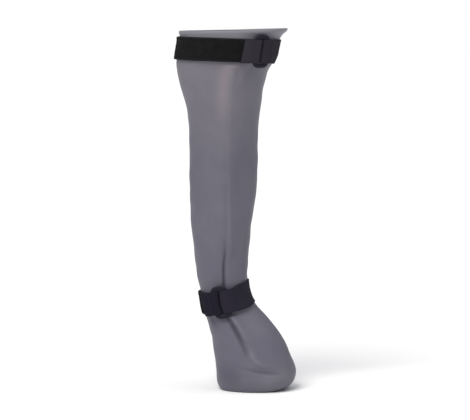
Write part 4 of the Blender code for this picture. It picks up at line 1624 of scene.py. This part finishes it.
def studio_world(stage):
    """Even pale surroundings, which the camera sees at a brightness of their own."""
    world = bpy.data.worlds.new("studio")
    world.use_nodes = True
    net = Nodes(world.node_tree)
    net.tree.nodes.clear()
    shine = net.put("ShaderNodeBackground", {"Color": (*SHINE, 1.0), "Strength": stage.surround})
    seen = net.put("ShaderNodeBackground", {"Color": (*SEEN, 1.0), "Strength": stage.backdrop})
    eye = net.put("ShaderNodeLightPath").outputs["Is Camera Ray"]
    both = net.put("ShaderNodeMixShader", {0: eye, 1: shine.outputs[0], 2: seen.outputs[0]})
    net.put("ShaderNodeOutputWorld", {"Surface": both.outputs[0]})
    return world


# ------------------------------------------------------------------ operators


class DOGSOCK_OT_skin(bpy.types.Operator):
    """Make the silicone sock with its folds, rim and hollow inside"""

    bl_idname = "dogsock.skin"
    bl_label = "Make Sock"

    def execute(self, context):
        material = silicone_material(context.scene.dog_sock_colours)
        settle(make_skin(context.scene.dog_sock_sizes, material), "silicone", "sock")
        return {"FINISHED"}


class DOGSOCK_OT_straps(bpy.types.Operator):
    """Make both webbing straps, sewn round their rings and folded back"""

    bl_idname = "dogsock.straps"
    bl_label = "Make Straps"

    def execute(self, context):
        material = webbing_material(context.scene.dog_sock_colours)
        for name in PATHS:
            made = make_webbing(name, context.scene.dog_sock_sizes, material)
            settle(made, "webbing", name + "_strap")
        return {"FINISHED"}


class DOGSOCK_OT_tapes(bpy.types.Operator):
    """Make the loop tapes with their pile, and the hook tapes under the folded ends"""

    bl_idname = "dogsock.tapes"
    bl_label = "Make Tapes"

    def execute(self, context):
        colours = context.scene.dog_sock_colours
        yarn, hooks = pile_material(colours), hook_material(colours)
        for name, path in PATHS.items():
            backing = make_tape(name + "_pile_backing", path, -path.tape, TAPE_LOW, BACKING, yarn)
            pile = make_pile(name, context.scene.dog_sock_sizes, yarn)
            for made in (backing, pile):
                settle(made, "loop_tape", name + "_loop_tape")
            hook = make_tape(name + "_hooks", path, HOOK_SHORT - FOLDED_END, HOOK_LOW, HOOK, hooks)
            settle(hook, "hook_tape", name + "_hook_tape")
        return {"FINISHED"}


class DOGSOCK_OT_rings(bpy.types.Operator):
    """Make both moulded rings"""

    bl_idname = "dogsock.rings"
    bl_label = "Make Rings"

    def execute(self, context):
        material = ring_material(context.scene.dog_sock_colours)
        for name in PATHS:
            settle(make_ring(name, material), "ring_plastic", name + "_ring")
        return {"FINISHED"}


class DOGSOCK_OT_stitches(bpy.types.Operator):
    """Sew the eyes, the folded ends and the tapes"""

    bl_idname = "dogsock.stitches"
    bl_label = "Make Stitches"

    def execute(self, context):
        thread = thread_material(context.scene.dog_sock_colours)
        for name in PATHS:
            settle(make_stitches(name, context.scene.dog_sock_sizes, thread), "webbing")
        return {"FINISHED"}


class DOGSOCK_OT_stage(bpy.types.Operator):
    """Make the pale floor, the soft light and the camera"""

    bl_idname = "dogsock.stage"
    bl_label = "Make Stage"

    def execute(self, context):
        scene, stage = context.scene, context.scene.dog_sock_stage
        side = stage.floor_size / 2
        corners = [(-side, -side, 0), (side, -side, 0), (side, side, 0), (-side, side, 0)]
        material = floor_material(scene.dog_sock_colours)
        mesh_object("floor", corners, [(0, 1, 2, 3)], material)
        scene.world = studio_world(stage)
        for name in LIGHTS:
            add_light(name, getattr(stage, name))
        scene.camera = add_camera(stage)
        scene.view_settings.view_transform = "Standard"
        scene.view_settings.look = "None"
        return {"FINISHED"}


OPERATORS = (
    DOGSOCK_OT_skin,
    DOGSOCK_OT_straps,
    DOGSOCK_OT_tapes,
    DOGSOCK_OT_rings,
    DOGSOCK_OT_stitches,
    DOGSOCK_OT_stage,
)


class DOGSOCK_PT_panel(bpy.types.Panel):
    """Lists the sock's settings and the steps that make it"""

    bl_label = "Dog Sock"
    bl_idname = "DOGSOCK_PT_panel"
    bl_space_type = "VIEW_3D"
    bl_region_type = "UI"
    bl_category = "Dog Sock"

    def draw(self, context):
        for group in SETTINGS:
            settings = getattr(context.scene, group)
            column = self.layout.column()
            for name in settings.__annotations__:
                column.prop(settings, name)
        for operator in OPERATORS:
            self.layout.operator(operator.bl_idname)


CLASSES = (*SETTINGS.values(), *OPERATORS, DOGSOCK_PT_panel)


def register():
    for made in CLASSES:
        bpy.utils.register_class(made)
    for name, group in SETTINGS.items():
        setattr(bpy.types.Scene, name, PointerProperty(type=group))


def unregister():
    for name in SETTINGS:
        delattr(bpy.types.Scene, name)
    for made in reversed(CLASSES):
        bpy.utils.unregister_class(made)


def main():
    register()
    bpy.ops.dogsock.skin()
    bpy.ops.dogsock.straps()
    bpy.ops.dogsock.tapes()
    bpy.ops.dogsock.rings()
    bpy.ops.dogsock.stitches()
    bpy.ops.dogsock.stage()


if __name__ == "__main__":
    main()
